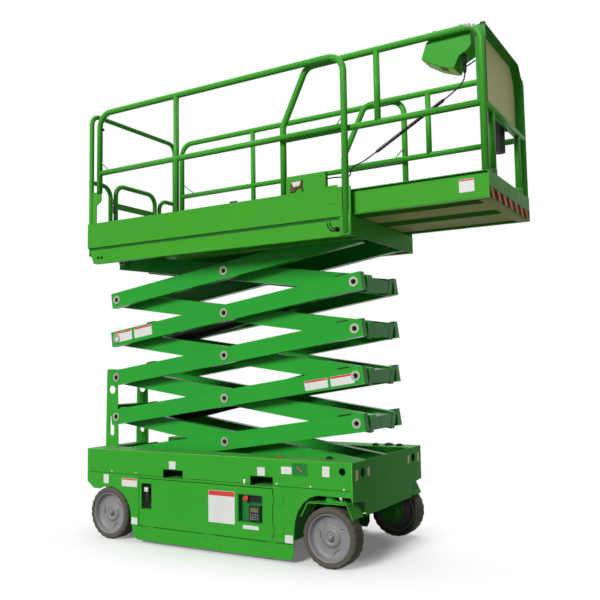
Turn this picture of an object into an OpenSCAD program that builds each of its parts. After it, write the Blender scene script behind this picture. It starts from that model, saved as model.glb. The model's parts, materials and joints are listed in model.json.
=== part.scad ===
// Self-propelled scissor lift with five crossed arm pairs and a slide-out deck extension.
// Millimetres. +X points to the steered wheels, +Y to the far side, +Z up, ground at z = 0.
// Every module draws in a working frame whose x = 0 is the middle of the chassis;
// lift_frame() then shifts it so that x = 0 is the middle of the whole machine.

/* [Chassis] */
// Length of the chassis over its end plates
chassis_l = 2274; // [2240:1:2400]
// Width of the chassis over its side skins
chassis_w = 1132; // [1120:1:1200]
// Height of the chassis top above the ground
chassis_top = 661; // [650:1:680]
// Height of the fold line between the upper band and the doors
band_z = 484; // [480:1:500]
// Height of the lower edge of the side doors
sill_z = 128; // [120:1:150]
// Thickness of the side skins
skin_t = 6; // [4:0.5:8]
// Distance from the middle to each inner wall of the scissor bay
bay_half = 375; // [372:1:385]
// Height of the floor of the scissor bay
bay_floor = 478; // [470:1:482]
// Thickness of floors, walls and end plates
plate_t = 6; // [5:0.5:8]

/* [Wheels] */
// Distance between the front and rear axles
wheelbase = 1870; // [1850:1:1900]
// Distance from the rear end of the chassis to the rear axle
rear_overhang = 232; // [228:1:260]
// Diameter of the tyres
tyre_d = 381; // [370:1:390]
// Width of the tyres
tyre_w = 127; // [110:1:130]
// Width over the outer faces of the wheels
track_over = 1148; // [1140:1:1200]
// Diameter of the wheel rims
rim_d = 300; // [280:1:310]
// Diameter of the wheel spindles
spindle_d = 50; // [40:1:60]
// Radial clearance of shafts and pins in their bores
run_fit = 0.05; // [0.02:0.01:0.1]
// Gap between the inner faces of the tyres and the steering knuckles
knuckle_gap = 35; // [30:1:45]
// Distance of the king pins behind the front axle
pin_trail = 12; // [0:1:15]
// Diameter of the king pins
king_d = 50; // [40:1:55]

/* [Doors and steering] */
// Depth of the compartments behind the doors
comp_depth = 266; // [255:1:270]
// Gap round each side door
door_gap = 5; // [4:0.5:6]
// Depth of the latch pocket in the doors
pocket_depth = 40; // [30:1:44]
// Distance of the door hinge axes outside the side skin
hinge_out = 3; // [2:0.5:4]
// Length of the steering arms
steer_arm = 72; // [66:1:74]
// Diameter of the steering rod
steer_rod_d = 20; // [16:1:20]

/* [Scissor] */
// Distance of the front rollers behind the front end of the chassis as shown
slide_back = 94.2; // [92:0.1:110]
// Angle of the arms above the level as shown
lift_angle = 8.31; // [5:0.01:12]
// Depth of an arm
arm_depth = 120; // [110:1:122]
// Width of an arm tube
arm_wide = 60; // [50:1:64]
// Length of an arm beyond its end pin
arm_end = 57; // [52:1:60]
// Distance from the middle to the outer face of the outer arms
outer_face = 300; // [296:1:304]
// Distance from the middle to the outer face of the inner arms
inner_face = 205; // [195:1:210]
// Height of the lowest pins above the ground
base_pin_z = 570; // [565:1:580]
// Distance of the fixed rear pins from the rear end of the chassis
base_pin_back = 39; // [36:1:60]
// Diameter of the arm pins
arm_pin_d = 50; // [44:1:56]
// Bore through the arm pins
arm_pin_bore = 36; // [20:1:38]
// Diameter of the ring heads on the arm pins
ring_d = 68; // [62:1:70]
// Thickness of the ring heads on the arm pins
ring_t = 5; // [3:0.5:6]
// Radius of the sliding rollers at the front pins
roller_r = 30; // [28:1:34]

/* [Lift cylinders] */
// Outside diameter of the cylinder barrels
barrel_d = 120; // [100:1:130]
// Diameter of the cylinder rods
rod_d = 75; // [60:1:90]
// Distance from an arm's centre pin back to the barrel pin
barrel_pin_back = 840; // [820:1:860]
// Distance from an arm's centre pin forward to the rod pin
rod_pin_ahead = 880; // [860:1:890]
// Length of the rods that shows outside the barrels
rod_out = 263; // [240:1:290]
// Diameter of the pins through the barrel ends
barrel_pin_d = 50; // [40:1:56]
// Radius of the rod eyes
rod_eye_r = 38; // [34:1:40]
// Half of the width of the rod eyes
rod_eye_half = 50; // [40:1:54]

/* [Deck] */
// Length of the main deck
deck_l = 2340; // [2330:1:2380]
// Distance of the deck's rear end behind the chassis
deck_back = 61; // [58:1:80]
// Width of the main deck
deck_w = 1030; // [1020:1:1060]
// Height of the deck floor above the top pins
floor_above_pin = 94; // [92:1:110]
// Depth of the channels along the deck sides
channel_h = 131; // [120:1:132]
// Height of the toe boards above the deck floor
toe_h = 190; // [150:1:200]
// Height of the rail tops above the deck floor
rail_h = 1095; // [1000:1:1150]
// Height of the middle rails above the deck floor
mid_h = 590; // [500:1:620]
// Thickness of the sill under the entry gate
gate_sill = 5; // [4:0.5:8]
// Outside diameter of the rail tubes
rail_d = 38; // [34:1:40]
// Outside diameter of the middle rails and short posts
mid_d = 36; // [30:1:36]

/* [Deck extension] */
// How far the extension deck is run out as shown
slide_out = 900; // [600:1:900]
// Length of the extension deck
ext_l = 1830; // [1800:1:1850]
// Width of the extension deck
ext_w = 950; // [930:1:956]
// Depth of the extension deck's side channels
ext_h = 166; // [140:1:170]
// Gap between the main floor and the extension deck
ext_gap = 9; // [6:1:12]

/* [Ladder] */
// Width of the ladder's side plates
ladder_w = 135; // [120:1:150]
// Height of the ladder's top above the ground
ladder_top = 1262; // [1200:1:1280]
// Distance between the ladder's side plates
ladder_gap = 354; // [300:1:360]

/* [Hidden] */

eps = 0.01;
seat = 0.3;
tee = 4;
swell = 0.4;
levels = 5;
green = [0.25, 0.66, 0.17];
dark = [0.12, 0.12, 0.12];
steel = [0.72, 0.73, 0.70];
tyre_grey = [0.45, 0.44, 0.42];
hub_grey = [0.62, 0.61, 0.63];

half_w = chassis_w / 2;
x_back = -chassis_l / 2;
x_nose = chassis_l / 2;
rear_x = x_back + rear_overhang;
front_x = rear_x + wheelbase;
king_x = front_x - pin_trail;
axle_z = tyre_d / 2;
wheel_y = track_over / 2 - tyre_w / 2;
king_y = wheel_y - 8;
knuckle_y = wheel_y - tyre_w / 2 - knuckle_gap;
axle_half = knuckle_y - 12;

door_x0 = rear_x + 294;
door_x1 = front_x - 418;
door_z0 = sill_z + 1;
door_z1 = band_z - 19;
door_hinge_x = door_x1 + 8;
door_hinge_y = half_w + hinge_out;
door_hinge_levels = [205, 397];
guard_hinge_y = half_w - skin_t / 2;
guard_hinge_z = sill_z - 6;
guard_lugs = [-520, 0, 520];
floor_pan_z = sill_z + 22;
comp_wall = half_w - comp_depth;
comp_x0 = rear_x + 225;
comp_x1 = front_x - 256;
comp_floor = floor_pan_z + plate_t + seat;
block_gap = 12;
steer_x = king_x + steer_arm;
steer_z = 434;
steer_slot = 20;

pin_x = x_back + base_pin_back;
run = chassis_l - base_pin_back - slide_back;
arm_pitch = run / cos(lift_angle);
rise = run * tan(lift_angle);
slide_x = pin_x + run;
mid_x = pin_x + run / 2;
outer_y = outer_face - arm_wide;
inner_y = inner_face - arm_wide;
top_pin_z = base_pin_z + levels * rise;

floor_z = top_pin_z + floor_above_pin;
deck_x0 = x_back - deck_back;
deck_x1 = deck_x0 + deck_l;
deck_half = deck_w / 2;
rail_y = deck_half - 5;
rail_z = floor_z + rail_h - rail_d / 2;
mid_z = floor_z + mid_h;
toe_z = floor_z + toe_h;
channel_z = floor_z - channel_h;

ext_x1 = deck_x1 - 11 + slide_out;
ext_x0 = ext_x1 - ext_l;
ext_half = ext_w / 2;
ext_z0 = floor_z + ext_gap;
ext_z1 = ext_z0 + ext_h;
ext_rail_y = ext_half - 17;
ext_rail_z = rail_z - 4;
ext_mid_z = mid_z;

rail_x0 = -1085;
rail_x1 = 1105;
ladder_x0 = deck_x0 - 130;
frame_mid = (ext_x1 + ladder_x0) / 2;

gate_x = deck_x0 + 24;
gate_half = 240;
gate_post_y = 300;
gate_hinge_x = gate_x + 10;
gate_hinge_y = -(gate_half + gate_post_y) / 2;
gate_hinge_levels = [floor_z + 120, floor_z + 400];
front_frame_x = ext_x1 - 48;
front_post_y = 300;
rail_back = 640;
canister_r = 38;
canister_at = [ext_x1 - 108, 170, ext_mid_z - 150];

// Route of the control cord: points of its plain stretches, and the ends of its curly one
cord_d = 9;
coil_d = 26;
lower_route = [[963.3, -498, 2490], [975, -498, 2490], [990, -496, 2491], [1005, -489, 2493], [1018, -478, 2495],
    [1030, -465, 2497], [1041, -450, 2499], [1051, -435, 2500], [1061, -422, 2501], [1073, -415, 2503],
    [1084, -415, 2507], [1092, -415, 2514], [1096, -415, 2523], [1097, -415, 2533]];
middle_route = [[1097, -415, 2533.3], [1098, -415, 2543], [1102, -415, 2552], [1110, -415, 2560], [1122, -415, 2567],
    [1140, -415, 2574], [1160, -415, 2580], [1180, -415, 2587], [1200, -415, 2595], [1220, -415, 2604],
    [1240, -415, 2614], [1260, -415, 2624.6], [1280, -415, 2635.6]];
coil_from = [1280, -415, 2635.6];
coil_to = [1756, -415, 2896];
upper_route = [[1756, -415, 2896], [1776, -415, 2907], [1796, -415, 2919], [1816, -415, 2932], [1836, -415, 2946],
    [1854, -414, 2961], [1869, -412, 2978], [1879, -410, 2996], [1884, -407, 3014], [1885, -403, 3028], [1885, -402, 3039]];

// Shifts a piece from the chassis's x to the machine's own x
module lift_frame() translate([-frame_mid, 0, 0]) children();

// Solid box between two corners
module slab(a, b) translate(a) cube(b - a);

// Two copies, one for each side of the middle plane
module both_sides() { children(); mirror([0, 1, 0]) children(); }

// Plate with an outline in x and z, from y0 to y1
module side_plate(y0, y1) translate([0, y1, 0]) rotate([90, 0, 0]) linear_extrude(y1 - y0) children();

// Cylinder along y from y0 to y1
module bar_y(x, z, r, y0, y1) translate([x, y0, z]) rotate([-90, 0, 0]) cylinder(r = r, h = y1 - y0);

// Straight round tube between two points
module rod(a, b, d) {
    v = b - a;
    len = norm(v);
    translate(a) rotate([0, acos(v[2] / len), atan2(v[1], v[0])]) cylinder(d = d, h = len);
}

function turn(a, b, c) = let (u = b - a, v = c - b) atan2(u[0] * v[1] - u[1] * v[0], u[0] * v[0] + u[1] * v[1]);
function unit(v) = v / norm(v);
function cut_back(pts, i, r) = i == 0 || i == len(pts) - 1 ? 0 : r * tan(abs(turn(pts[i - 1], pts[i], pts[i + 1])) / 2);

// Bent round tube in the local x-y plane: straight runs, and a bend of radius r at each inner point
module tube_path(pts, r, d) {
    for (i = [0 : len(pts) - 2]) {
        u = unit(pts[i + 1] - pts[i]);
        a = pts[i] + u * cut_back(pts, i, r);
        b = pts[i + 1] - u * cut_back(pts, i + 1, r);
        translate([a[0], a[1], 0]) rotate([0, 90, atan2(u[1], u[0])]) cylinder(d = d, h = norm(b - a));
    }
    for (i = [1 : 1 : len(pts) - 2]) {
        u = unit(pts[i] - pts[i - 1]);
        t = turn(pts[i - 1], pts[i], pts[i + 1]);
        n = [-u[1], u[0]] * sign(t);
        c = pts[i] - u * cut_back(pts, i, r) + n * r;
        start = atan2(-n[1], -n[0]) + min(t, 0);
        translate([c[0], c[1], 0]) rotate([0, 0, start]) rotate_extrude(angle = abs(t)) translate([r, 0]) circle(d = d + swell);
    }
}

// The same tube in the x-z plane at y, and in the y-z plane at x
module tube_xz(y, pts, r, d) translate([0, y, 0]) rotate([90, 0, 0]) tube_path(pts, r, d);
module tube_yz(x, pts, r, d) translate([x, 0, 0]) rotate([90, 0, 90]) tube_path(pts, r, d);

// Outline of the chassis side skin in x and z
module skin_outline() difference() {
    polygon([[x_back, 413], [x_back + 68, 365], [rear_x, 365], [rear_x, sill_z], [comp_x1, sill_z],
        [comp_x1, 448], [x_nose - 18, 448], [x_nose - plate_t, 428], [x_nose - plate_t, chassis_top],
        [x_back, chassis_top]]);
    translate([rear_x, axle_z - 16]) circle(r = 214);
    translate([rear_x - 214, -8]) square([428, axle_z]);
}

// Leaf, two barrels and pin of a door hinge on the chassis, drawn on the far side
module door_hinge_fixed(z) {
    slab([door_hinge_x, half_w - eps, z - 28], [door_hinge_x + 9, half_w + 4, z - 10 - seat]);
    slab([door_hinge_x, half_w - eps, z + 10 + seat], [door_hinge_x + 9, half_w + 4, z + 28]);
    slab([door_hinge_x + 9 - eps, half_w - eps, z - 28], [door_hinge_x + 76, half_w + 4, z + 28]);
    translate([door_hinge_x, door_hinge_y, z - 28]) cylinder(r = 7, h = 18 - seat);
    translate([door_hinge_x, door_hinge_y, z + 10 + seat]) cylinder(r = 7, h = 18 - seat);
    translate([door_hinge_x, door_hinge_y, z - 28]) cylinder(r = 3.5, h = 56);
}

// Bracket, barrel and pin that carry a pothole guard, drawn on the far side
module guard_lug(x) {
    slab([x - 15, half_w - 70, floor_pan_z], [x + 15, half_w - 9, floor_pan_z + 3]);
    slab([x - 15, half_w - 12, guard_hinge_z - 3], [x + 15, half_w - 9, floor_pan_z + 3]);
    slab([x - 15, half_w - 12, guard_hinge_z - 3], [x + 15, guard_hinge_y, guard_hinge_z + 3]);
    translate([x - 15, guard_hinge_y, guard_hinge_z]) rotate([0, 90, 0]) cylinder(r = 5, h = 30);
    translate([x, guard_hinge_y, guard_hinge_z]) rotate([0, 90, 0]) cylinder(r = 2, h = 50);
}

module chassis_frame() lift_frame() color(green) {
    difference() {
        union() {
            both_sides() difference() {
                side_plate(half_w - skin_t, half_w) skin_outline();
                slab([door_x0 - door_gap, half_w - skin_t - 1, sill_z - 20], [door_x1 + door_gap, half_w + 1, door_z1 + door_gap]);
                for (z = door_hinge_levels)
                    slab([door_x1, half_w - skin_t - 1, z - 30], [door_hinge_x + 8, half_w + 1, z + 30]);
                for (x = [-293, 463]) slab([x - 90, half_w - skin_t - 1, 480], [x + 90, half_w + 1, 542]);
            }
            both_sides() slab([x_back, bay_half, chassis_top - plate_t], [x_nose - plate_t, half_w - skin_t + eps, chassis_top]);
            both_sides() slab([x_back, bay_half, bay_floor - plate_t], [x_nose - plate_t, bay_half + plate_t, chassis_top - eps]);
            slab([x_back, -half_w + skin_t - eps, bay_floor - plate_t], [x_nose - plate_t, half_w - skin_t + eps, bay_floor]);
            both_sides() slab([x_back, bay_half + plate_t - eps, 413], [x_back + plate_t, half_w - skin_t + eps, chassis_top - eps]);
            // walls, ends and floors of the compartments behind the doors, and the pan between them
            both_sides() slab([comp_x0, comp_wall, floor_pan_z], [comp_x1, comp_wall + plate_t, bay_floor - eps]);
            both_sides() for (x = [comp_x0, comp_x1 - plate_t])
                slab([x, comp_wall, floor_pan_z], [x + plate_t, half_w - skin_t + eps, bay_floor - eps]);
            slab([comp_x0, -comp_wall, floor_pan_z], [comp_x1, comp_wall + eps, floor_pan_z + plate_t]);
            both_sides() slab([comp_x0, comp_wall, floor_pan_z], [comp_x1, half_w - 60, floor_pan_z + plate_t]);
            slab([x_back, -bay_half - eps, 413], [x_back + plate_t, bay_half + eps, bay_floor - eps]);
            slab([king_x - 60, -half_w + skin_t - eps, 448], [king_x, half_w - skin_t + eps, bay_floor - eps]);
            both_sides() for (z = door_hinge_levels) door_hinge_fixed(z);
            both_sides() for (x = guard_lugs) guard_lug(x);
            both_sides() translate([king_x, king_y, 448]) cylinder(r = 60, h = bay_floor - 448 - eps);
            // roller tracks along the bay
            both_sides() for (z = [base_pin_z - roller_r - 2 - plate_t, base_pin_z + roller_r + 2])
                slab([mid_x - 90, 316, z], [x_nose - plate_t, bay_half + eps, z + plate_t]);
            // lugs that hold the lowest rear pins
            both_sides() for (y = [211, 306]) hull() {
                bar_y(pin_x, base_pin_z, 40, y, y + 24);
                slab([pin_x - 36, y, bay_floor - 2], [pin_x + 60, y + 24, bay_floor]);
            }
        }
        both_sides() bar_y(pin_x, base_pin_z, arm_pin_d / 2, 200, 340);
        both_sides() translate([king_x, king_y, 300]) cylinder(r = king_d / 2 + run_fit, h = 300);
    }
}

module front_plate() lift_frame() color(green) translate([x_nose - plate_t, 0, 0]) rotate([90, 0, 90])
    linear_extrude(plate_t) difference() {
        polygon([[-half_w, 420], [-half_w, chassis_top], [half_w, chassis_top], [half_w, 420], [450, 412],
            [400, 400], [375, 312], [-375, 312], [-400, 400], [-450, 412]]);
        for (y = [-420, 420]) translate([y, 588]) circle(r = 30);
        translate([0, 584]) circle(r = 11);
    }

module base_pins() lift_frame() color(steel) both_sides() difference() {
    bar_y(pin_x, base_pin_z, arm_pin_d / 2, 205, 335);
    bar_y(pin_x, base_pin_z, arm_pin_bore / 2, 204, 336);
}

module rear_axle() lift_frame() color(green) {
    slab([rear_x - 50, -axle_half, axle_z - 45], [rear_x + 50, axle_half, axle_z + 45]);
    both_sides() slab([rear_x - 50, axle_half - 150, axle_z + 45 - eps], [rear_x + 50, axle_half - 120, bay_floor - plate_t - seat]);
    both_sides() bar_y(rear_x, axle_z, 70, axle_half - eps, axle_half + 30);
    both_sides() bar_y(rear_x, axle_z, spindle_d / 2, axle_half + 30 - eps, track_over / 2 - 30);
}

module steer_cylinder() lift_frame() color(dark) difference() {
    union() {
        bar_y(steer_x, steer_z, 24, -150, 150);
        both_sides() slab([steer_x - 18, 100, steer_z], [steer_x + 18, 130, bay_floor - plate_t - seat]);
    }
    bar_y(steer_x, steer_z, steer_rod_d / 2 + run_fit, -151, 151);
}

module steer_rod() lift_frame() color(steel) {
    bar_y(steer_x, steer_z, steer_rod_d / 2, -king_y - 14, king_y + 14);
    both_sides() translate([steer_x, king_y, 407]) cylinder(r = 8, h = steer_z - 407);
}

module ladder_plate() difference() {
    translate([ladder_x0, 0]) polygon([[0, 240], [ladder_w, 240], [ladder_w, 700], [ladder_w - 10, ladder_top - 12],
        [ladder_w - 22, ladder_top], [24, ladder_top], [10, ladder_top - 14], [0, 700]]);
    for (z = [1094]) translate([ladder_x0 + ladder_w / 2, z]) circle(r = 34);
    for (z = [720, 380]) hull() for (s = [20, 150]) translate([ladder_x0 + ladder_w / 2, z + s]) circle(r = 22);
}

module entry_ladder() lift_frame() color(green) {
    both_sides() side_plate(ladder_gap / 2, ladder_gap / 2 + plate_t) ladder_plate();
    for (z = [270, 600, 935, 1215]) slab([ladder_x0 + 12, -ladder_gap / 2 - eps, z], [ladder_x0 + ladder_w - 14, ladder_gap / 2 + eps, z + 34]);
    both_sides() slab([ladder_x0 + ladder_w - eps, ladder_gap / 2, 420], [x_back - seat, ladder_gap / 2 + plate_t, 470]);
}

module battery_pack() lift_frame() color(dark)
    slab([-560, comp_wall + block_gap, comp_floor], [380, half_w - 70, 400]);

module hydraulic_unit() lift_frame() color(dark) {
    slab([-520, -half_w + 90, comp_floor], [-60, -comp_wall - block_gap, 380]);
    translate([120, -half_w + 136, comp_floor]) cylinder(r = 75, h = 230);
}

// Hinged side door, drawn on the far side
module door_shape(recess) {
    difference() {
        slab([door_x0, half_w - skin_t, door_z0], [door_x1, half_w, door_z1]);
        slab([rear_x + 316, half_w - skin_t - 1, 248], [rear_x + 412, half_w + 1, 432]);
        if (recess) slab([270, half_w - skin_t - 1, 232], [470, half_w + 1, 418]);
    }
    difference() {
        slab([rear_x + 312, half_w - pocket_depth, 244], [rear_x + 416, half_w - skin_t + eps, 436]);
        slab([rear_x + 316, half_w - pocket_depth + 4, 248], [rear_x + 412, half_w, 432]);
    }
    for (z = door_hinge_levels) difference() {
        union() {
            slab([door_hinge_x - 60, half_w - eps, z - 10], [door_hinge_x, half_w + 4, z + 10]);
            translate([door_hinge_x, door_hinge_y, z - 10]) cylinder(r = 7, h = 20);
        }
        translate([door_hinge_x, door_hinge_y, z - 11]) cylinder(r = 3.5 + run_fit, h = 22);
    }
}

module door_left() lift_frame() color(green) door_shape(false);
module door_right() lift_frame() color(green) mirror([0, 1, 0]) door_shape(true);

module ground_control() lift_frame() color(dark) mirror([0, 1, 0]) {
    difference() {
        slab([270 + seat, half_w - 46, 232 + seat], [470 - seat, half_w - 2, 418 - seat]);
        slab([276, half_w - 40, 238], [464, half_w, 412]);
    }
    slab([313, half_w - 40 - eps, 366], [464 + eps, half_w - 24, 412 + eps]);
    bar_y(335, 389, 16, half_w - 24 - eps, half_w - 8);
    slab([348, half_w - 40 - eps, 243], [439, half_w - 16, 343]);
}

// Pothole guard under the door, drawn on the far side
module guard_shape() difference() {
    union() {
        difference() {
            side_plate(half_w - skin_t, half_w)
                polygon([[-686, guard_hinge_z - 1], [-655, 40], [-625, 24], [684, 24], [706, 66], [706, guard_hinge_z - 1]]);
            for (x = guard_lugs) slab([x - 18, half_w - skin_t - 1, guard_hinge_z - 24], [x + 16, half_w + 1, guard_hinge_z]);
        }
        for (x = guard_lugs) translate([x + 16, guard_hinge_y, guard_hinge_z]) rotate([0, 90, 0]) cylinder(r = 5, h = 36);
    }
    for (x = guard_lugs) translate([x + 15, guard_hinge_y, guard_hinge_z]) rotate([0, 90, 0]) cylinder(r = 2 + run_fit, h = 38);
}
module guard_left() lift_frame() color(green) guard_shape();
module guard_right() lift_frame() color(green) mirror([0, 1, 0]) guard_shape();

// Steering knuckle with fender and slotted steering arm, drawn on the far side
module knuckle_shape() {
    slot_r = 13;
    translate([king_x, king_y, 402]) cylinder(r = king_d / 2, h = 66);
    difference() {
        union() {
            translate([king_x, king_y, 402]) cylinder(r = 36, h = 46 - 0.5);
            side_plate(knuckle_y, track_over / 2 - 10) polygon([[king_x - 190, 306], [king_x - 140, 396], [king_x + 135, 400],
                [king_x + 175, 312], [king_x + 181, 316], [king_x + 139, 406], [king_x - 144, 402], [king_x - 197, 309]]);
            slab([king_x, king_y - 24, 400], [steer_x + steer_slot, king_y + 24, 416]);
            translate([steer_x + steer_slot, king_y, 400]) cylinder(r = 24, h = 16);
        }
        for (x = [steer_x, steer_x + steer_slot]) translate([x, king_y, 390]) cylinder(r = slot_r, h = 30);
        slab([steer_x, king_y - slot_r, 390], [steer_x + steer_slot, king_y + slot_r, 420]);
    }
    side_plate(knuckle_y, knuckle_y + 14) polygon([[king_x - 100, 398], [king_x + 100, 400], [front_x + 70, 120],
        [front_x - 70, 120]]);
    bar_y(front_x, axle_z, spindle_d / 2, knuckle_y, track_over / 2 - 30);
    bar_y(front_x, axle_z, 60, knuckle_y - 67, knuckle_y + eps);
}
module knuckle_left() lift_frame() color(green) knuckle_shape();
module knuckle_right() lift_frame() color(green) mirror([0, 1, 0]) knuckle_shape();

// Solid tyre round a rim, drawn about the origin with its outer face towards +y
module tyre_shape() rotate([-90, 0, 0]) rotate_extrude() polygon([
    [rim_d / 2 + seat, -tyre_w / 2], [tyre_d / 2 - 8, -tyre_w / 2], [tyre_d / 2, -tyre_w / 2 + 10],
    [tyre_d / 2, tyre_w / 2 - 10], [tyre_d / 2 - 8, tyre_w / 2], [rim_d / 2 + seat, tyre_w / 2]]);

// Dished wheel disc with rim and hub, drawn about the origin with its outer face towards +y
module hub_shape() difference() {
    rotate([-90, 0, 0]) rotate_extrude() polygon([
        [spindle_d / 2 + run_fit, -20], [60, -20], [60, 4], [rim_d / 2 - 10, 10], [rim_d / 2 - 10, -tyre_w / 2 + 2],
        [rim_d / 2, -tyre_w / 2 + 2], [rim_d / 2, tyre_w / 2 - 2], [rim_d / 2 - 6, tyre_w / 2 - 2],
        [rim_d / 2 - 22, 24], [62, 20], [46, 34], [spindle_d / 2 + run_fit, 34]]);
}

module at_wheel(x, side) lift_frame() mirror([0, side < 0 ? 1 : 0, 0]) translate([x, wheel_y, axle_z]) children();

module tyre_front_left() color(tyre_grey) at_wheel(front_x, 1) tyre_shape();
module tyre_front_right() color(tyre_grey) at_wheel(front_x, -1) tyre_shape();
module tyre_rear_left() color(tyre_grey) at_wheel(rear_x, 1) tyre_shape();
module tyre_rear_right() color(tyre_grey) at_wheel(rear_x, -1) tyre_shape();
module hub_front_left() color(hub_grey) at_wheel(front_x, 1) hub_shape();
module hub_front_right() color(hub_grey) at_wheel(front_x, -1) hub_shape();
module hub_rear_left() color(hub_grey) at_wheel(rear_x, 1) hub_shape();
module hub_rear_right() color(hub_grey) at_wheel(rear_x, -1) hub_shape();

// One pair of arms about its centre pin, level, from y0 outwards
module arm_pair(y0, open_end) both_sides() difference() {
    slab([-arm_pitch / 2 - arm_end, y0, -arm_depth / 2], [arm_pitch / 2 + arm_end, y0 + arm_wide, arm_depth / 2]);
    for (s = [-1, 0]) bar_y(s * arm_pitch / 2, 0, arm_pin_d / 2 + run_fit, y0 - 1, y0 + arm_wide + 1);
    bar_y(arm_pitch / 2, 0, arm_pin_d / 2 + open_end, y0 - 1, y0 + arm_wide + 1);
}

// Puts a level arm drawn about its centre pin at level k
module at_level(k, dir) lift_frame() translate([mid_x, 0, base_pin_z + (k - 0.5) * rise])
    rotate([0, -dir * lift_angle, 0]) children();

module outer_arm(k) at_level(k, 1) color(green) arm_pair(outer_y, 1);

module inner_arm(k) at_level(k, -1) color(green) {
    arm_pair(inner_y, 0);
    // box member at the front tips and round tube near the rear pins
    slab([arm_pitch / 2 - 26, -inner_y - eps, -45], [arm_pitch / 2 + arm_end - 3, inner_y + eps, 45]);
    bar_y(-arm_pitch / 2 + 100, 0, 38, -inner_y - eps, inner_y + eps);
    // pin and collars of a lift cylinder's barrel, and the two bosses beside a rod's eye
    if (k == 1 || k == 3) {
        bar_y(-barrel_pin_back, 0, barrel_pin_d / 2, -inner_y - eps, inner_y + eps);
        both_sides() bar_y(-barrel_pin_back, 0, barrel_pin_d / 2 + 13, barrel_d / 2 + 2, inner_y + eps);
    }
    if (k == 3 || k == 5) both_sides() bar_y(rod_pin_ahead, 0, rod_eye_r, rod_eye_half + seat, inner_y + eps);
}

module outer_arm_1() outer_arm(1);
module outer_arm_2() outer_arm(2);
module outer_arm_3() outer_arm(3);
module outer_arm_4() outer_arm(4);
module outer_arm_5() outer_arm(5);
module inner_arm_1() inner_arm(1);
module inner_arm_2() inner_arm(2);
module inner_arm_3() inner_arm(3);
module inner_arm_4() inner_arm(4);
module inner_arm_5() inner_arm(5);

// Hollow pin with a ring head outside the outer arm
module arm_pin(x, y0, y1, head) difference() {
    union() {
        bar_y(x, 0, arm_pin_d / 2, y0, y1);
        if (head) bar_y(x, 0, ring_d / 2, y1, y1 + ring_t);
    }
    bar_y(x, 0, arm_pin_bore / 2, y0 - 1, y1 + ring_t + 1);
}

module pin_set(k) at_level(k, -1) color(steel) both_sides() {
    arm_pin(0, inner_y - 2, outer_face + seat, true);
    arm_pin(-arm_pitch / 2, inner_y - 2, k < levels ? outer_face + seat : 246, k < levels);
    if (k > 1) arm_pin(arm_pitch / 2, inner_y + seat, outer_face + seat, true);
    if (k == 1) {
        arm_pin(arm_pitch / 2, inner_y + seat, 316, false);
        bar_y(arm_pitch / 2, 0, roller_r, 316, 360);
    }
}
module pins_1() pin_set(1);
module pins_2() pin_set(2);
module pins_3() pin_set(3);
module pins_4() pin_set(4);
module pins_5() pin_set(5);

module slide_rollers() at_level(levels, 1) color(steel) both_sides() {
    arm_pin(arm_pitch / 2, outer_y - 2, 316, false);
    bar_y(arm_pitch / 2, 0, roller_r, 316, 360);
}

// Where a cylinder's ends lie in the working frame, from the lower arm's level
function barrel_pin(k) = [mid_x - barrel_pin_back * cos(lift_angle), 0,
    base_pin_z + (k - 0.5) * rise + barrel_pin_back * sin(lift_angle)];
function rod_pin(k) = [mid_x + rod_pin_ahead * cos(lift_angle), 0,
    base_pin_z + (k + 1.5) * rise - rod_pin_ahead * sin(lift_angle)];
function cylinder_tilt(k) = atan2(rod_pin(k)[2] - barrel_pin(k)[2], rod_pin(k)[0] - barrel_pin(k)[0]);
cylinder_len = norm(rod_pin(1) - barrel_pin(1));
barrel_len = cylinder_len - rod_out;
piston_at = 650;

module along_cylinder(k) lift_frame() translate(barrel_pin(k)) rotate([0, -cylinder_tilt(k), 0]) children();

module barrel(k) along_cylinder(k) color(dark) difference() {
    union() {
        rotate([0, 90, 0]) cylinder(d = barrel_d, h = barrel_len);
        bar_y(0, 0, barrel_pin_d / 2 + 20, -barrel_d / 2, barrel_d / 2);
    }
    translate([40, 0, 0]) rotate([0, 90, 0]) cylinder(d = rod_d + 2 * run_fit, h = barrel_len);
    bar_y(0, 0, barrel_pin_d / 2 + run_fit, -barrel_d, barrel_d);
}
module piston_rod(k) along_cylinder(k) color(steel) {
    translate([piston_at, 0, 0]) rotate([0, 90, 0]) cylinder(d = rod_d, h = cylinder_len - piston_at);
    bar_y(cylinder_len, 0, rod_eye_r, -rod_eye_half, rod_eye_half);
}
module lower_barrel() barrel(1);
module lower_rod() piston_rod(1);
module upper_barrel() barrel(3);
module upper_rod() piston_rod(3);

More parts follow.
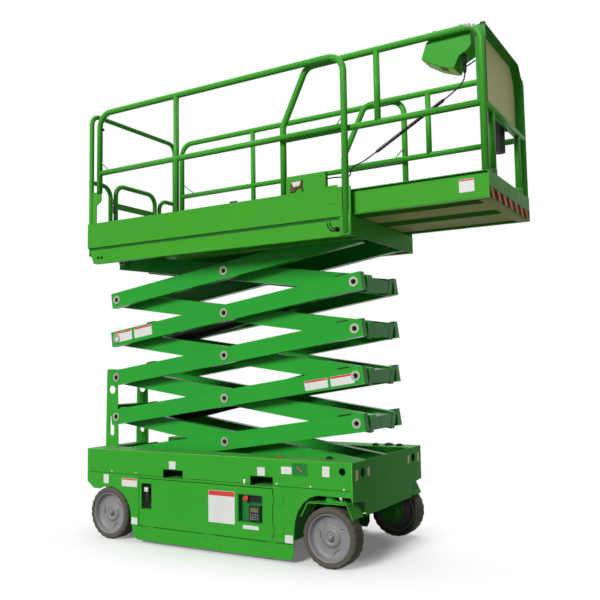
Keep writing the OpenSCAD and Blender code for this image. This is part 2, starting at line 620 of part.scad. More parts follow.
module deck_frame() lift_frame() color(green) {
    slab([deck_x0, -deck_half + 6 - eps, floor_z - plate_t], [deck_x1, deck_half - 6 + eps, floor_z]);
    slab([deck_x0, -deck_half + 6 - eps, floor_z - eps], [deck_x0 + 50, deck_half - 6 + eps, floor_z + gate_sill]);
    both_sides() {
        // wear pad under the extension
        slab([deck_x1 - 620, ext_half - 42, floor_z - eps], [deck_x1 - 20, ext_half - 14, ext_z0 - seat]);
        side_plate(deck_half - 6, deck_half) polygon([[deck_x0, floor_z], [deck_x0 + 58, channel_z],
            [deck_x1, channel_z], [deck_x1, toe_z], [deck_x0, toe_z]]);
        slab([deck_x0 + 58, deck_half - 46, channel_z], [deck_x1, deck_half - 6 + eps, channel_z + plate_t]);
        for (z = [top_pin_z - roller_r - 2 - plate_t, top_pin_z + roller_r + 2])
            slab([mid_x - 90, 316, z], [deck_x1 - plate_t + eps, bay_half + eps, z + plate_t]);
        slab([mid_x - 90, bay_half, top_pin_z - roller_r - 2 - plate_t], [deck_x1 - plate_t + eps, bay_half + plate_t, floor_z - plate_t + eps]);
        difference() {
            hull() {
                bar_y(pin_x, top_pin_z, 40, 211, 235);
                slab([pin_x - 60, 211, floor_z - plate_t - 4], [pin_x + 60, 235, floor_z - plate_t + eps]);
            }
            bar_y(pin_x, top_pin_z, arm_pin_d / 2 + run_fit, 200, 300);
        }
    }
    slab([deck_x0, -deck_half + 6 - eps, floor_z - 66], [deck_x0 + plate_t, deck_half - 6 + eps, floor_z - plate_t + eps]);
    slab([deck_x1 - plate_t, -deck_half + 6 - eps, channel_z], [deck_x1, deck_half - 6 + eps, floor_z - plate_t + eps]);
}

// What the toe board takes away from the feet of the posts, which lie flat against its outer face
module toe_board_room() both_sides() slab([deck_x0 - 1, deck_half - rail_d, channel_z - 1],
    [deck_x1 + 1, deck_half + seat, toe_z + seat]);

// Side rail of the main deck, drawn on the far side
module side_rail() difference() {
    side_rail_tubes();
    toe_board_room();
}

module side_rail_tubes() {
    tube_xz(rail_y, [[rail_x0, toe_z - 90], [rail_x0, rail_z], [rail_x1, rail_z], [rail_x1, channel_z + 20]], 110, rail_d);
    tube_xz(rail_y, [[rail_x0, mid_z], [rail_x1, mid_z]], 0, mid_d);
    tube_xz(rail_y, [[-300, mid_z + tee], [-300, rail_z]], 0, mid_d);
    tube_xz(rail_y, [[838, rail_z - 4], [640, rail_z - 400], [640, toe_z - 60]], 120, rail_d);
}
module rail_far() lift_frame() color(green) side_rail();
module rail_near() lift_frame() color(green) mirror([0, 1, 0]) side_rail();

module rail_rear() lift_frame() color(green) {
    difference() {
        tube_yz(gate_x, [[-rail_y, toe_z - 60], [-rail_y, rail_z + 8], [rail_y, rail_z + 8], [rail_y, toe_z - 60]], 80, rail_d);
        toe_board_room();
    }
    both_sides() tube_yz(gate_x, [[gate_post_y, floor_z + gate_sill + seat], [gate_post_y, mid_z - 60], [rail_y, mid_z - 60]], 90, mid_d);
    // fixed half of the gate's hinges
    for (z = gate_hinge_levels) {
        slab([gate_x - 3, -gate_post_y, z - 8], [gate_hinge_x, gate_hinge_y, z + 8]);
        translate([gate_hinge_x, gate_hinge_y, z - 8]) cylinder(r = 8, h = 16);
        translate([gate_hinge_x, gate_hinge_y, z]) cylinder(r = 4, h = 40);
    }
}

module entry_gate() lift_frame() color(green) {
    y0 = -gate_half;
    y1 = gate_half;
    z = mid_z - 30;
    tube_yz(gate_x, [[y0, floor_z + 60], [y0, z], [y1, z], [y1, floor_z + 60]], 90, rail_d);
    slab([gate_x - 3, y0, floor_z + 60], [gate_x + 3, y1, floor_z + 200]);
    slab([gate_x - 3, y0, z - 200], [gate_x + 3, y1, z - 150]);
    for (h = gate_hinge_levels) difference() {
        union() {
            slab([gate_x - 3, gate_hinge_y, h + 8 + seat], [gate_hinge_x, y0, h + 40]);
            translate([gate_hinge_x, gate_hinge_y, h + 8 + seat]) cylinder(r = 8, h = 32 - seat);
        }
        translate([gate_hinge_x, gate_hinge_y, h]) cylinder(r = 4 + run_fit, h = 42);
    }
}

module junction_box() lift_frame() color(green)
    slab([760, -deck_half, toe_z + seat], [963, -deck_half + 30, toe_z + 120]);

// Side channel of the extension, its lips turned outwards, drawn on the far side
module extension_channel() {
    slab([ext_x0, ext_half - 20, ext_z0], [ext_x1 - plate_t + eps, ext_half - 15, ext_z1]);
    slab([ext_x0, ext_half - 38, ext_z1 - 5], [ext_x1 - plate_t + eps, ext_half, ext_z1]);
    slab([ext_x0, ext_half - 38, ext_z0], [ext_x1 - plate_t + eps, ext_half - 2, ext_z0 + 5]);
}

module extension_deck() lift_frame() color(green) {
    slab([ext_x0, -ext_half + 20 - eps, ext_z0 + 20], [ext_x1 - plate_t + eps, ext_half - 20 + eps, ext_z0 + 26]);
    both_sides() extension_channel();
    for (y = [-150, 150]) slab([ext_x0, y - 30, ext_z0], [ext_x1 - plate_t + eps, y + 30, ext_z0 + 20 + eps]);
    slab([ext_x1 - plate_t, -ext_half, ext_z0], [ext_x1, ext_half, ext_z1]);
}

module extension_rails() lift_frame() color(green) {
    x0 = rail_back;
    x1 = front_frame_x;
    foot = ext_z1 + seat;
    both_sides() {
        tube_xz(ext_rail_y, [[x0, foot], [x0, ext_rail_z], [x1, ext_rail_z], [x1, foot]], 90, rail_d);
        tube_xz(ext_rail_y, [[x0, ext_mid_z], [x1, ext_mid_z]], 0, mid_d);
        tube_xz(ext_rail_y, [[1320, ext_mid_z + tee], [1320, ext_rail_z]], 0, mid_d);
        tube_yz(x1, [[front_post_y, foot], [front_post_y, ext_mid_z]], 0, mid_d);
    }
    tube_yz(x1, [[-ext_rail_y + tee, ext_mid_z], [ext_rail_y - tee, ext_mid_z]], 0, rail_d);
    // square feet that hold the front posts
    both_sides() slab([x1 - 24, front_post_y - 24, foot], [x1 + 24, front_post_y + 24, foot + 40]);
    // clip that carries the canister
    slab([canister_at[0] + canister_r, canister_at[1] - 15, ext_mid_z - 10], [x1, canister_at[1] + 15, ext_mid_z + 10]);
}

// Shallow tray behind the controls, open to the front
module front_panel() lift_frame() color([0.35, 0.4, 0.2]) {
    x0 = front_frame_x + rail_d / 2 + seat;
    difference() {
        slab([x0, -ext_half + 25, ext_mid_z - 20], [ext_x1, ext_half - 25, ext_rail_z + 15]);
        slab([x0 + 3, -ext_half + 28, ext_mid_z - 17], [ext_x1 + 1, ext_half - 28, ext_rail_z + 12]);
    }
}

module control_box() lift_frame() color(green) {
    x0 = ext_x1 - 390;
    x1 = ext_x1 - 90;
    y0 = -ext_rail_y + rail_d / 2 + seat;
    slab([x0, y0, ext_rail_z - 260], [x1, y0 + 180, ext_rail_z + 10]);
    for (x = [x0 + 40, x1 - 70]) slab([x, -ext_rail_y - rail_d / 2, ext_rail_z + rail_d / 2 + seat],
        [x + 30, y0 + 60, ext_rail_z + rail_d / 2 + seat + 4]);
    for (x = [x0 + 40, x1 - 70]) slab([x, y0, ext_rail_z], [x + 30, y0 + 60, ext_rail_z + rail_d / 2 + seat + 4]);
}

module canister() lift_frame() color(dark) translate(canister_at) cylinder(r = canister_r, h = 230);

// Round cord swept along points: rings of the sweep, then the faces between them
function ahead(pts, i) = unit(pts[min(i + 1, len(pts) - 1)] - pts[max(i - 1, 0)]);
function ring_at(pts, i, r, n) = let (t = ahead(pts, i), side = unit(cross(t, [0, 1, 0])), top = cross(side, t))
    [for (j = [0 : n - 1]) pts[i] + r * (cos(360 * j / n) * side + sin(360 * j / n) * top)];
module cord(pts, d) {
    n = 8;
    count = len(pts);
    polyhedron([for (i = [0 : count - 1]) each ring_at(pts, i, d / 2, n)],
        concat([[for (j = [0 : n - 1]) j]],
            [for (i = [0 : count - 2], j = [0 : n - 1]) [i * n + j, (i + 1) * n + j, (i + 1) * n + (j + 1) % n, i * n + (j + 1) % n]],
            [[for (j = [n - 1 : -1 : 0]) (count - 1) * n + j]]));
}

// Cord from the outlet on the deck to the point where the extension's own part begins
module cord_lower() lift_frame() color(dark) cord(lower_route, cord_d);
module cord_middle() lift_frame() color(dark) cord(middle_route, cord_d);
module cord_upper() lift_frame() color(dark) cord(upper_route, cord_d);
module cord_coil() lift_frame() color(dark) rod(coil_from, coil_to, coil_d);

chassis_frame();
front_plate();
base_pins();
rear_axle();
steer_cylinder();
steer_rod();
entry_ladder();
battery_pack();
hydraulic_unit();
door_left();
door_right();
ground_control();
guard_left();
guard_right();
knuckle_left();
knuckle_right();
tyre_front_left();
tyre_front_right();
tyre_rear_left();
tyre_rear_right();
hub_front_left();
hub_front_right();
hub_rear_left();
hub_rear_right();
outer_arm_1();
outer_arm_2();
outer_arm_3();
outer_arm_4();
outer_arm_5();
inner_arm_1();
inner_arm_2();
inner_arm_3();
inner_arm_4();
inner_arm_5();
pins_1();
pins_2();
pins_3();
pins_4();
pins_5();
slide_rollers();
lower_barrel();
lower_rod();
upper_barrel();
upper_rod();
deck_frame();
rail_near();
rail_far();
rail_rear();
entry_gate();
junction_box();
extension_deck();
extension_rails();
front_panel();
control_box();
canister();
cord_lower();
cord_middle();
cord_coil();
cord_upper();
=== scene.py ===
# Scissor lift, part raised: finish, cords and small parts round the machine's own frame
import json
import math
import bpy
import numpy as np
from mathutils import Matrix, Vector


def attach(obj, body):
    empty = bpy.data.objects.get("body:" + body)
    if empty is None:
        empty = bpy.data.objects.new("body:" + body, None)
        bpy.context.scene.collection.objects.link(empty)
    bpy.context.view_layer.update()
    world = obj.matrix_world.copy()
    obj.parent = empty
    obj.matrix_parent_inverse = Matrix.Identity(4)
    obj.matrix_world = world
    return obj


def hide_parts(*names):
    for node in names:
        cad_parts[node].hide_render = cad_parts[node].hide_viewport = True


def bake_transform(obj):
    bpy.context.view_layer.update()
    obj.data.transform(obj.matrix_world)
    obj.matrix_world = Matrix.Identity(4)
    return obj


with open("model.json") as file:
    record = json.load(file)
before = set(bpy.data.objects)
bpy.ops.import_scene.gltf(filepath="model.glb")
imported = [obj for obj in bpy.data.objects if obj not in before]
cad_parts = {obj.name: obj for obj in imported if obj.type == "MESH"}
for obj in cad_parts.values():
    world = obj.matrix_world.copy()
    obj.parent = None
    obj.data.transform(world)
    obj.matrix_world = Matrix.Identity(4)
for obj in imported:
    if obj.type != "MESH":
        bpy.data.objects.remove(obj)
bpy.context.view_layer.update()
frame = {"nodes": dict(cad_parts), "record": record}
nodes = frame["nodes"]
scene = bpy.context.scene
scene.view_settings.view_transform = "Standard"
midX = 0.3515  # the chassis centre lies this far behind the machine's own centre

# Camera, from the photograph's vanishing lines
shot = {
    "place": (2.9205, -4.787, 1.277),
    "yaw": 120.533,
    "pitch": 4.879,
    "roll": -0.948,
    "focalPixels": 753.146,
    "framePixels": 600,
    "sensor": 36.0,
    "farEnd": 60,
}


def makeCamera(spec):
    yaw, pitch, roll = (math.radians(spec[k]) for k in ("yaw", "pitch", "roll"))
    ahead = Vector((math.cos(yaw) * math.cos(pitch), math.sin(yaw) * math.cos(pitch), math.sin(pitch)))
    level = Vector((math.sin(yaw), -math.cos(yaw), 0.0))
    upright = level.cross(ahead)
    right = level * math.cos(roll) + upright * math.sin(roll)
    up = upright * math.cos(roll) - level * math.sin(roll)
    data = bpy.data.cameras.new("camera")
    data.sensor_width = spec["sensor"]
    data.lens = spec["sensor"] * spec["focalPixels"] / spec["framePixels"]
    data.clip_end = spec["farEnd"]
    camera = bpy.data.objects.new("camera", data)
    scene.collection.objects.link(camera)
    turn = Matrix((right, up, -ahead)).transposed().to_4x4()
    camera.matrix_world = Matrix.Translation(spec["place"]) @ turn
    scene.camera = camera


makeCamera(shot)
print("camera placed")

# Meshes from numpy arrays


def meshFrom(name, points, faces, smooth=False):
    mesh = bpy.data.meshes.new(name)
    points = np.asarray(points, float).reshape(-1, 3).tolist()
    mesh.from_pydata(points, [], [list(map(int, f)) for f in faces])
    mesh.update()
    if smooth:
        mesh.polygons.foreach_set("use_smooth", [True] * len(mesh.polygons))
    piece = bpy.data.objects.new(name, mesh)
    scene.collection.objects.link(piece)
    return piece


def gridFaces(rows, columns):
    # quads of a grid of points, rows apart, columns closed into a ring
    r, c = np.meshgrid(np.arange(rows - 1), np.arange(columns), indexing="ij")
    nextC = (c + 1) % columns
    corners = [r * columns + c, r * columns + nextC, (r + 1) * columns + nextC, (r + 1) * columns + c]
    return np.stack(corners, -1).reshape(-1, 4)


def directions(path):
    ahead = np.gradient(path, axis=0)
    return ahead / np.linalg.norm(ahead, axis=1)[:, None]


def ringTube(path, radius, side, top, sides):
    # a ring of points round each point of the path, both ends closed
    turn = np.linspace(0, 2 * np.pi, sides, endpoint=False)
    ring = np.cos(turn)[None, :, None] * side[:, None] + np.sin(turn)[None, :, None] * top[:, None]
    points = path[:, None] + radius * ring
    last = (len(path) - 1) * sides
    ends = [list(range(sides))[::-1], [last + i for i in range(sides)]]
    return points.reshape(-1, 3), gridFaces(len(path), sides).tolist() + ends


def tubeAlong(path, radius, sides):
    # its rings are turned by the smallest angle from one to the next
    ahead = directions(path)
    side = np.cross(ahead[0], (0.0, 0.0, 1.0))
    sidesOut = []
    for t in ahead:
        side = side - t * (side @ t)
        side = side / np.linalg.norm(side)
        sidesOut.append(side)
    sidesOut = np.array(sidesOut)
    return ringTube(path, radius, sidesOut, np.cross(ahead, sidesOut), sides)


def tubeShape(path, radius, sides):
    # its rings are turned against one fixed slanting direction
    path = np.asarray(path, float)
    ahead = directions(path)
    side = np.cross(ahead, np.array((0.31, 0.2, 0.93)))
    side /= np.linalg.norm(side, axis=1)[:, None]
    return ringTube(path, radius, side, np.cross(ahead, side), sides)


# Floor and light: an even key from the near left, a softer lamp overhead, and a low sky
studio = {
    "floorHalf": 40,
    "floorSeen": 0.92,
    "floorBounce": 0.22,
    "floorGlow": 0.13,
    "paleOval": {"Location": (0.16, 0, 0), "Scale": (0.46, 0.86, 1)},
    "whiteFrom": 0.50,
    "whiteBy": 0.96,
    "worldLevel": 0.12,
    "lampAway": 8,
    "lamps": {
        "key": {"from": (-0.08, -1.0, 0.55), "spread": 20, "level": 3.02},
        "top": {"from": (-0.05, 0.32, 1.0), "spread": 50, "level": 1.55},
    },
}


def makeLamp(name, spec, away):
    # a far lamp, so that the whole height of the machine is lit alike
    data = bpy.data.lights.new(name, "SUN")
    data.energy = spec["level"]
    data.angle = math.radians(spec["spread"])
    lamp = bpy.data.objects.new(name, data)
    scene.collection.objects.link(lamp)
    lamp.location = Vector(spec["from"]) * away
    lamp.rotation_euler = (-Vector(spec["from"])).to_track_quat("-Z", "Y").to_euler()


def emptyTree(holder):
    holder.use_nodes = True
    holder.node_tree.nodes.clear()
    return holder.node_tree


def makeNode(tree, kind, feeds=None, **settings):
    # a node whose inputs take a value or another node's output
    node = tree.nodes.new("ShaderNode" + kind)
    for key, value in settings.items():
        setattr(node, key, value)
    for key, value in (feeds or {}).items():
        if isinstance(value, bpy.types.NodeSocket):
            tree.links.new(value, node.inputs[key])
        else:
            node.inputs[key].default_value = value
    return node


def noiseNode(tree, source, scale, detail):
    return makeNode(tree, "TexNoise", {"Scale": scale, "Detail": detail, "Vector": source}).outputs["Fac"]


def rampNode(tree, source, low, high, toLow=0.0, toHigh=1.0):
    feeds = {"From Min": low, "From Max": high, "To Min": toLow, "To Max": toHigh, "Value": source}
    return makeNode(tree, "MapRange", feeds).outputs["Result"]


def noiseRamp(tree, source, spec):
    return rampNode(tree, noiseNode(tree, source, *spec["noise"]), *spec["ramp"])


def mathNode(tree, operation, a, b):
    return makeNode(tree, "Math", {0: a, 1: b}, operation=operation).outputs[0]


def mixNode(tree, fac, a, b):
    return makeNode(tree, "Mix", {"Factor": fac, 6: a, 7: b}, data_type="RGBA").outputs[2]


def mixShaders(tree, fac, a, b):
    return makeNode(tree, "MixShader", {0: fac, 1: a.outputs[0], 2: b.outputs[0]}).outputs[0]


def seenRays(tree):
    # one for what the camera, a gloss or a glass sees, none for light that lands on the object
    path = makeNode(tree, "LightPath")
    either = mathNode(tree, "MAXIMUM", path.outputs["Is Camera Ray"], path.outputs["Is Glossy Ray"])
    return mathNode(tree, "MAXIMUM", either, path.outputs["Is Transmission Ray"])


def makeWorld(spec):
    world = bpy.data.worlds.new("world")
    scene.world = world
    tree = emptyTree(world)
    light, seen = (makeNode(tree, "Background", {"Color": (1, 1, 1, 1), "Strength": level})
                   for level in (spec["worldLevel"], 1.0))
    makeNode(tree, "OutputWorld", {"Surface": mixShaders(tree, seenRays(tree), light, seen)})


def floorMaterial(spec):
    # pale and shadowed near the machine, plain white further out, so that no far edge shows
    material = bpy.data.materials.new("floorPale")
    tree = emptyTree(material)
    seen = seenRays(tree)
    bounce, pale = ((grey, grey, grey, 1) for grey in (spec["floorBounce"], spec["floorSeen"]))
    matt = makeNode(tree, "BsdfDiffuse", {"Color": mixNode(tree, seen, bounce, pale)})
    glow = makeNode(tree, "Emission", {"Strength": mathNode(tree, "MULTIPLY", seen, spec["floorGlow"])})
    near = makeNode(tree, "AddShader", {0: matt.outputs[0], 1: glow.outputs[0]})
    white = makeNode(tree, "Emission", {"Strength": seen})
    place = makeNode(tree, "TexCoord").outputs["Object"]
    oval = makeNode(tree, "Mapping", {"Vector": place, **spec["paleOval"]})
    distance = makeNode(tree, "VectorMath", {0: oval.outputs[0]}, operation="LENGTH")
    far = rampNode(tree, distance.outputs["Value"], spec["whiteFrom"], spec["whiteBy"])
    mix = mixShaders(tree, mathNode(tree, "MULTIPLY", far, seen), near, white)
    makeNode(tree, "OutputMaterial", {"Surface": mix})
    return material


def makeStudio(spec):
    for name, lamp in spec["lamps"].items():
        makeLamp(name, lamp, spec["lampAway"])
    makeWorld(spec)
    half = spec["floorHalf"]
    floor = meshFrom("floor", [(-half, -half, 0), (half, -half, 0), (half, half, 0), (-half, half, 0)],
                     [(0, 1, 2, 3)])
    floor.data.materials.append(floorMaterial(spec))


makeStudio(studio)
print("studio lit")

# Ageing that every finish shares: scale and detail of each noise, and the ends of its ramp
wear = {
    "drift": {"noise": (2.2, 2), "ramp": (0.35, 0.7), "share": 0.35},
    "levelFaces": (0.75, 1.0),
    "speck": {"noise": (38, 5), "ramp": (0.45, 0.72), "least": 0.35},
    "dustColour": (0.42, 0.44, 0.36, 1),
    "dustRough": 0.5,
    "streak": {"stretch": (14, 14, 1.6), "noise": (1.0, 4), "ramp": (0.55, 0.8)},
    "grimeColour": (0.05, 0.07, 0.03, 1),
    "patch": {"noise": (9, 3), "ramp": (0.3, 0.75, -0.06, 0.10)},
    "grain": (420, 2),
    "relief": 0.25,
}


def newGroup(name, inputs, outputs):
    group = bpy.data.node_groups.new(name, "ShaderNodeTree")
    for label, kind, value in inputs:
        socket = group.interface.new_socket(label, in_out="INPUT", socket_type=kind)
        socket.default_value = value
    for label, kind in outputs:
        group.interface.new_socket(label, in_out="OUTPUT", socket_type=kind)
    return group, group.nodes.new("NodeGroupInput"), group.nodes.new("NodeGroupOutput")


def makeAgeing(spec):
    # colour drifts a little, dust lies on level faces, grime gathers in upright streaks
    group, entry, leave = newGroup(
        "ageing",
        [("Paint", "NodeSocketColor", (0.1, 0.4, 0.1, 1)), ("Deep", "NodeSocketColor", (0.05, 0.2, 0.05, 1)),
         ("Dust", "NodeSocketFloat", 0.2), ("Grime", "NodeSocketFloat", 0.2),
         ("Shine", "NodeSocketFloat", 0.3)],
        [("Color", "NodeSocketColor"), ("Roughness", "NodeSocketFloat"), ("Height", "NodeSocketFloat")])
    place = makeNode(group, "TexCoord").outputs["Object"]
    drift = mathNode(group, "MULTIPLY", noiseRamp(group, place, spec["drift"]), spec["drift"]["share"])
    colour = mixNode(group, drift, entry.outputs["Paint"], entry.outputs["Deep"])
    facing = makeNode(group, "SeparateXYZ", {0: makeNode(group, "NewGeometry").outputs["Normal"]})
    level = rampNode(group, facing.outputs["Z"], *spec["levelFaces"])
    speck = mathNode(group, "ADD", noiseRamp(group, place, spec["speck"]), spec["speck"]["least"])
    dusty = mathNode(group, "MULTIPLY", mathNode(group, "MULTIPLY", level, speck), entry.outputs["Dust"])
    colour = mixNode(group, dusty, colour, spec["dustColour"])
    stretch = makeNode(group, "Mapping", {"Scale": spec["streak"]["stretch"], "Vector": place})
    streak = noiseRamp(group, stretch.outputs[0], spec["streak"])
    dirt = mathNode(group, "MULTIPLY", streak, entry.outputs["Grime"])
    colour = mixNode(group, dirt, colour, spec["grimeColour"])
    group.links.new(colour, leave.inputs["Color"])
    patchy = mathNode(group, "ADD", entry.outputs["Shine"], noiseRamp(group, place, spec["patch"]))
    rough = mathNode(group, "ADD", patchy, mathNode(group, "MULTIPLY", dusty, spec["dustRough"]))
    group.links.new(rough, leave.inputs["Roughness"])
    group.links.new(noiseNode(group, place, *spec["grain"]), leave.inputs["Height"])
    return group


ageing = makeAgeing(wear)


def finishMaterial(name, paint, deep, shine, dust, grime, gloss=0.5, metallic=0.0, bump=0.0002):
    material = bpy.data.materials.new(name)
    material.use_nodes = True
    tree = material.node_tree
    shader = tree.nodes["Principled BSDF"]
    shader.inputs["Specular IOR Level"].default_value = gloss
    shader.inputs["Metallic"].default_value = metallic
    aged = tree.nodes.new("ShaderNodeGroup")
    aged.node_tree = ageing
    ages = {"Paint": (*paint, 1), "Deep": (*deep, 1), "Dust": dust, "Grime": grime, "Shine": shine}
    for key, value in ages.items():
        aged.inputs[key].default_value = value
    feeds = {"Strength": wear["relief"], "Distance": bump, "Height": aged.outputs["Height"]}
    relief = makeNode(tree, "Bump", feeds)
    tree.links.new(aged.outputs["Color"], shader.inputs["Base Color"])
    tree.links.new(aged.outputs["Roughness"], shader.inputs["Roughness"])
    tree.links.new(relief.outputs["Normal"], shader.inputs["Normal"])
    return material


# Finishes: paint, deeper tone, shine, dust, grime, and then gloss, metal and relief where they differ
looks = {
    "frame_paint": ((0.046, 0.36, 0.032), (0.034, 0.33, 0.034), 0.36, 0.1, 0.08, 0.03),
    "deck_paint": ((0.064, 0.37, 0.03), (0.046, 0.34, 0.032), 0.36, 0.08, 0.05, 0.03),
    "arm_paint": ((0.026, 0.35, 0.034), (0.018, 0.31, 0.038), 0.24, 0.06, 0.05, 0.1),
    "rail_paint": ((0.058, 0.36, 0.03), (0.04, 0.33, 0.03), 0.32, 0.04, 0.04, 0.12),
    "black_parts": ((0.01, 0.011, 0.009), (0.018, 0.018, 0.016), 0.5, 0.2, 0.1, 0.2),
    "cylinder_paint": ((0.006, 0.007, 0.006), (0.012, 0.012, 0.011), 0.32, 0.15, 0.1, 0.2),
    "bare_steel": ((0.36, 0.38, 0.3), (0.22, 0.25, 0.18), 0.42, 0.1, 0.2, 0.5, 0.5),
    "rod_chrome": ((0.62, 0.63, 0.62), (0.5, 0.51, 0.5), 0.12, 0.0, 0.05, 0.5, 1.0),
    "tyre_rubber": ((0.112, 0.102, 0.08), (0.062, 0.056, 0.042), 0.75, 0.15, 0.5, 0.12, 0.0, 0.0008),
    "wheel_paint": ((0.235, 0.23, 0.24), (0.17, 0.165, 0.175), 0.42, 0.1, 0.35, 0.35),
    "panel_sheet": ((0.5, 0.56, 0.15), (0.42, 0.48, 0.12), 0.45, 0.1, 0.15, 0.08),
    "cord_black": ((0.01, 0.01, 0.01), (0.018, 0.018, 0.018), 0.45, 0.1, 0.0, 0.2),
    "plateWhite": ((0.72, 0.73, 0.7), (0.6, 0.61, 0.57), 0.4, 0.1, 0.12),
    "plateRed": ((0.62, 0.035, 0.03), (0.5, 0.03, 0.03), 0.4, 0.1, 0.1),
    # darker green painted as the shade inside recesses
    "recessPaintedShade": ((0.01, 0.18, 0.03), (0.008, 0.14, 0.025), 0.4, 0.0, 0.15, 0.25),
    "coverGreen": ((0.048, 0.37, 0.032), (0.036, 0.34, 0.032), 0.42, 0.05, 0.05, 0.08),
    # darker green painted as the shade on the front tray's rim
    "trayRimPaintedShade": ((0.034, 0.28, 0.026), (0.026, 0.24, 0.022), 0.4, 0.05, 0.05, 0.1),
    # olive sheet, painted pale as if lit by the sun
    "oliveSheetPaintedLit": ((1.0, 1.0, 0.46), (0.94, 0.96, 0.36), 0.5, 0.0, 0.14, 0.06),
    # brighter green painted as highlights along edges
    "edgePaintedHighlight": ((0.16, 0.6, 0.07), (0.12, 0.52, 0.06), 0.3, 0.0, 0.1, 0.3),
    # olive painted as warm light bouncing onto the extension's underside
    "olivePaintedBounceLight": ((0.42, 0.44, 0.15), (0.34, 0.36, 0.11), 0.5, 0.1, 0.2, 0.02),
    # darker green painted as the shade on the underside's ribs
    "ribBandPaintedShade": ((0.05, 0.2, 0.02), (0.04, 0.16, 0.016), 0.6, 0.0, 0.05, 0.0),
    "screenOlive": ((0.11, 0.13, 0.05), (0.08, 0.1, 0.04), 0.25, 0.0, 0.0),
    "plateTan": ((0.85, 0.76, 0.48), (0.7, 0.62, 0.38), 0.45, 0.1, 0.2, 0.2),
    "hazardOrange": ((0.8, 0.24, 0.05), (0.64, 0.18, 0.04), 0.5, 0.0, 0.2, 0.05),
    "hazardBlack": ((0.03, 0.026, 0.012), (0.04, 0.036, 0.02), 0.6, 0.0, 0.1, 0.02),
    "buttonRed": ((0.55, 0.02, 0.02), (0.42, 0.015, 0.015), 0.3, 0.1, 0.05),
    "springRust": ((0.1, 0.02, 0.012), (0.05, 0.015, 0.01), 0.55, 0.1, 0.3, 0.5, 0.3),
    "greyHose": ((0.3, 0.31, 0.28), (0.2, 0.2, 0.18), 0.5, 0.1, 0.2),
    # dark green painted as shade in lines under lips and in gaps
    "lineShade": ((0.006, 0.11, 0.008), (0.005, 0.08, 0.008), 0.5, 0.0, 0.1, 0.2),
    # near-black painted as the shade inside holes
    "holePaintedShade": ((0.004, 0.006, 0.004), (0.005, 0.008, 0.005), 0.8, 0.0, 0.0, 0.0),
    "boltZinc": ((0.55, 0.56, 0.52), (0.4, 0.41, 0.38), 0.35, 0.0, 0.1, 0.5, 0.7),
}
slotNames = {"frame_paint": "greenFrame", "deck_paint": "greenDeck", "arm_paint": "greenArms",
             "rail_paint": "greenRails", "black_parts": "blackParts", "cylinder_paint": "blackPaint",
             "bare_steel": "ringSteel", "rod_chrome": "rodChrome", "tyre_rubber": "greyRubber",
             "wheel_paint": "wheelGrey", "panel_sheet": "oliveSheet", "cord_black": "cordBlack"}
finishes = {key: finishMaterial(slotNames.get(key, key), *look) for key, look in looks.items()}


def dressFrame():
    for row in frame["record"]["subparts"]:
        piece = nodes[row["node"]]
        finish = finishes[row["material_slot"]]
        for place in piece.material_slots:
            place.material = finish


dressFrame()
print("frame dressed")

# Control cord: out of the deck's outlet, up in a curly stretch, and into the control box
cord = {
    "thickness": 0.009,
    "coilRadius": 8.5,
    "turns": 46,
    "perTurn": 12,
    "sides": 8,
    "lower": [(963.3, -498, 2490), (975, -498, 2490), (990, -496, 2491), (1005, -489, 2493),
              (1018, -478, 2495), (1030, -465, 2497), (1041, -450, 2499), (1051, -435, 2500),
              (1061, -422, 2501), (1073, -415, 2503), (1084, -415, 2507), (1092, -415, 2514),
              (1096, -415, 2523), (1097, -415, 2533)],
    "middle": [(1098, -415, 2543), (1102, -415, 2552), (1110, -415, 2560), (1122, -415, 2567),
               (1140, -415, 2574), (1160, -415, 2580), (1180, -415, 2587), (1200, -415, 2595),
               (1220, -415, 2604), (1240, -415, 2614), (1260, -415, 2624.6)],
    "coilFrom": (1280, -415, 2635.6),
    "coilTo": (1756, -415, 2896),
    "upper": [(1776, -415, 2907), (1796, -415, 2919), (1816, -415, 2932), (1836, -415, 2946),
              (1854, -414, 2961), (1869, -412, 2978), (1879, -410, 2996), (1884, -407, 3014),
              (1885, -403, 3028), (1885, -402, 3039)],
}


def toFrame(points):
    # from the drawing's millimetres, with x from the chassis centre, to the frame's metres
    return (np.asarray(points, float) - [midX * 1000, 0, 0]) / 1000


def helixBetween(start, end, radius, turns, perTurn):
    # points round the straight line from start to end, the radius growing over the first and last turn
    start, end = np.asarray(start, float), np.asarray(end, float)
    t = np.linspace(0, 1, turns * perTurn + 1)
    axis = (end - start) / np.linalg.norm(end - start)
    side = np.cross(axis, (0.0, 1.0, 0.0))
    side /= np.linalg.norm(side)
    top = np.cross(axis, side)
    grown = radius * np.clip(np.minimum(t, 1 - t) * turns, 0, 1)
    angle = 2 * np.pi * turns * t
    circle = np.cos(angle)[:, None] * side + np.sin(angle)[:, None] * top
    return start + (end - start) * t[:, None] + grown[:, None] * circle


def makeCord(spec):
    helix = helixBetween(spec["coilFrom"], spec["coilTo"], spec["coilRadius"], spec["turns"],
                         spec["perTurn"])
    route = toFrame(np.concatenate([spec["lower"], spec["middle"], helix, spec["upper"]]))
    points, faces = tubeAlong(route, spec["thickness"] / 2, spec["sides"])
    piece = meshFrom("controlCord", points, faces, smooth=True)
    piece.data.materials.append(finishes["cord_black"])
    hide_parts("cord_lower", "cord_middle", "cord_coil", "cord_upper")
    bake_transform(piece)


makeCord(cord)
print("cord laid")

# Shapes of the added pieces, in the drawing's millimetres with x from the chassis centre
across, up, near = (1, 0, 0), (0, 0, 1), (0, -1, 0)


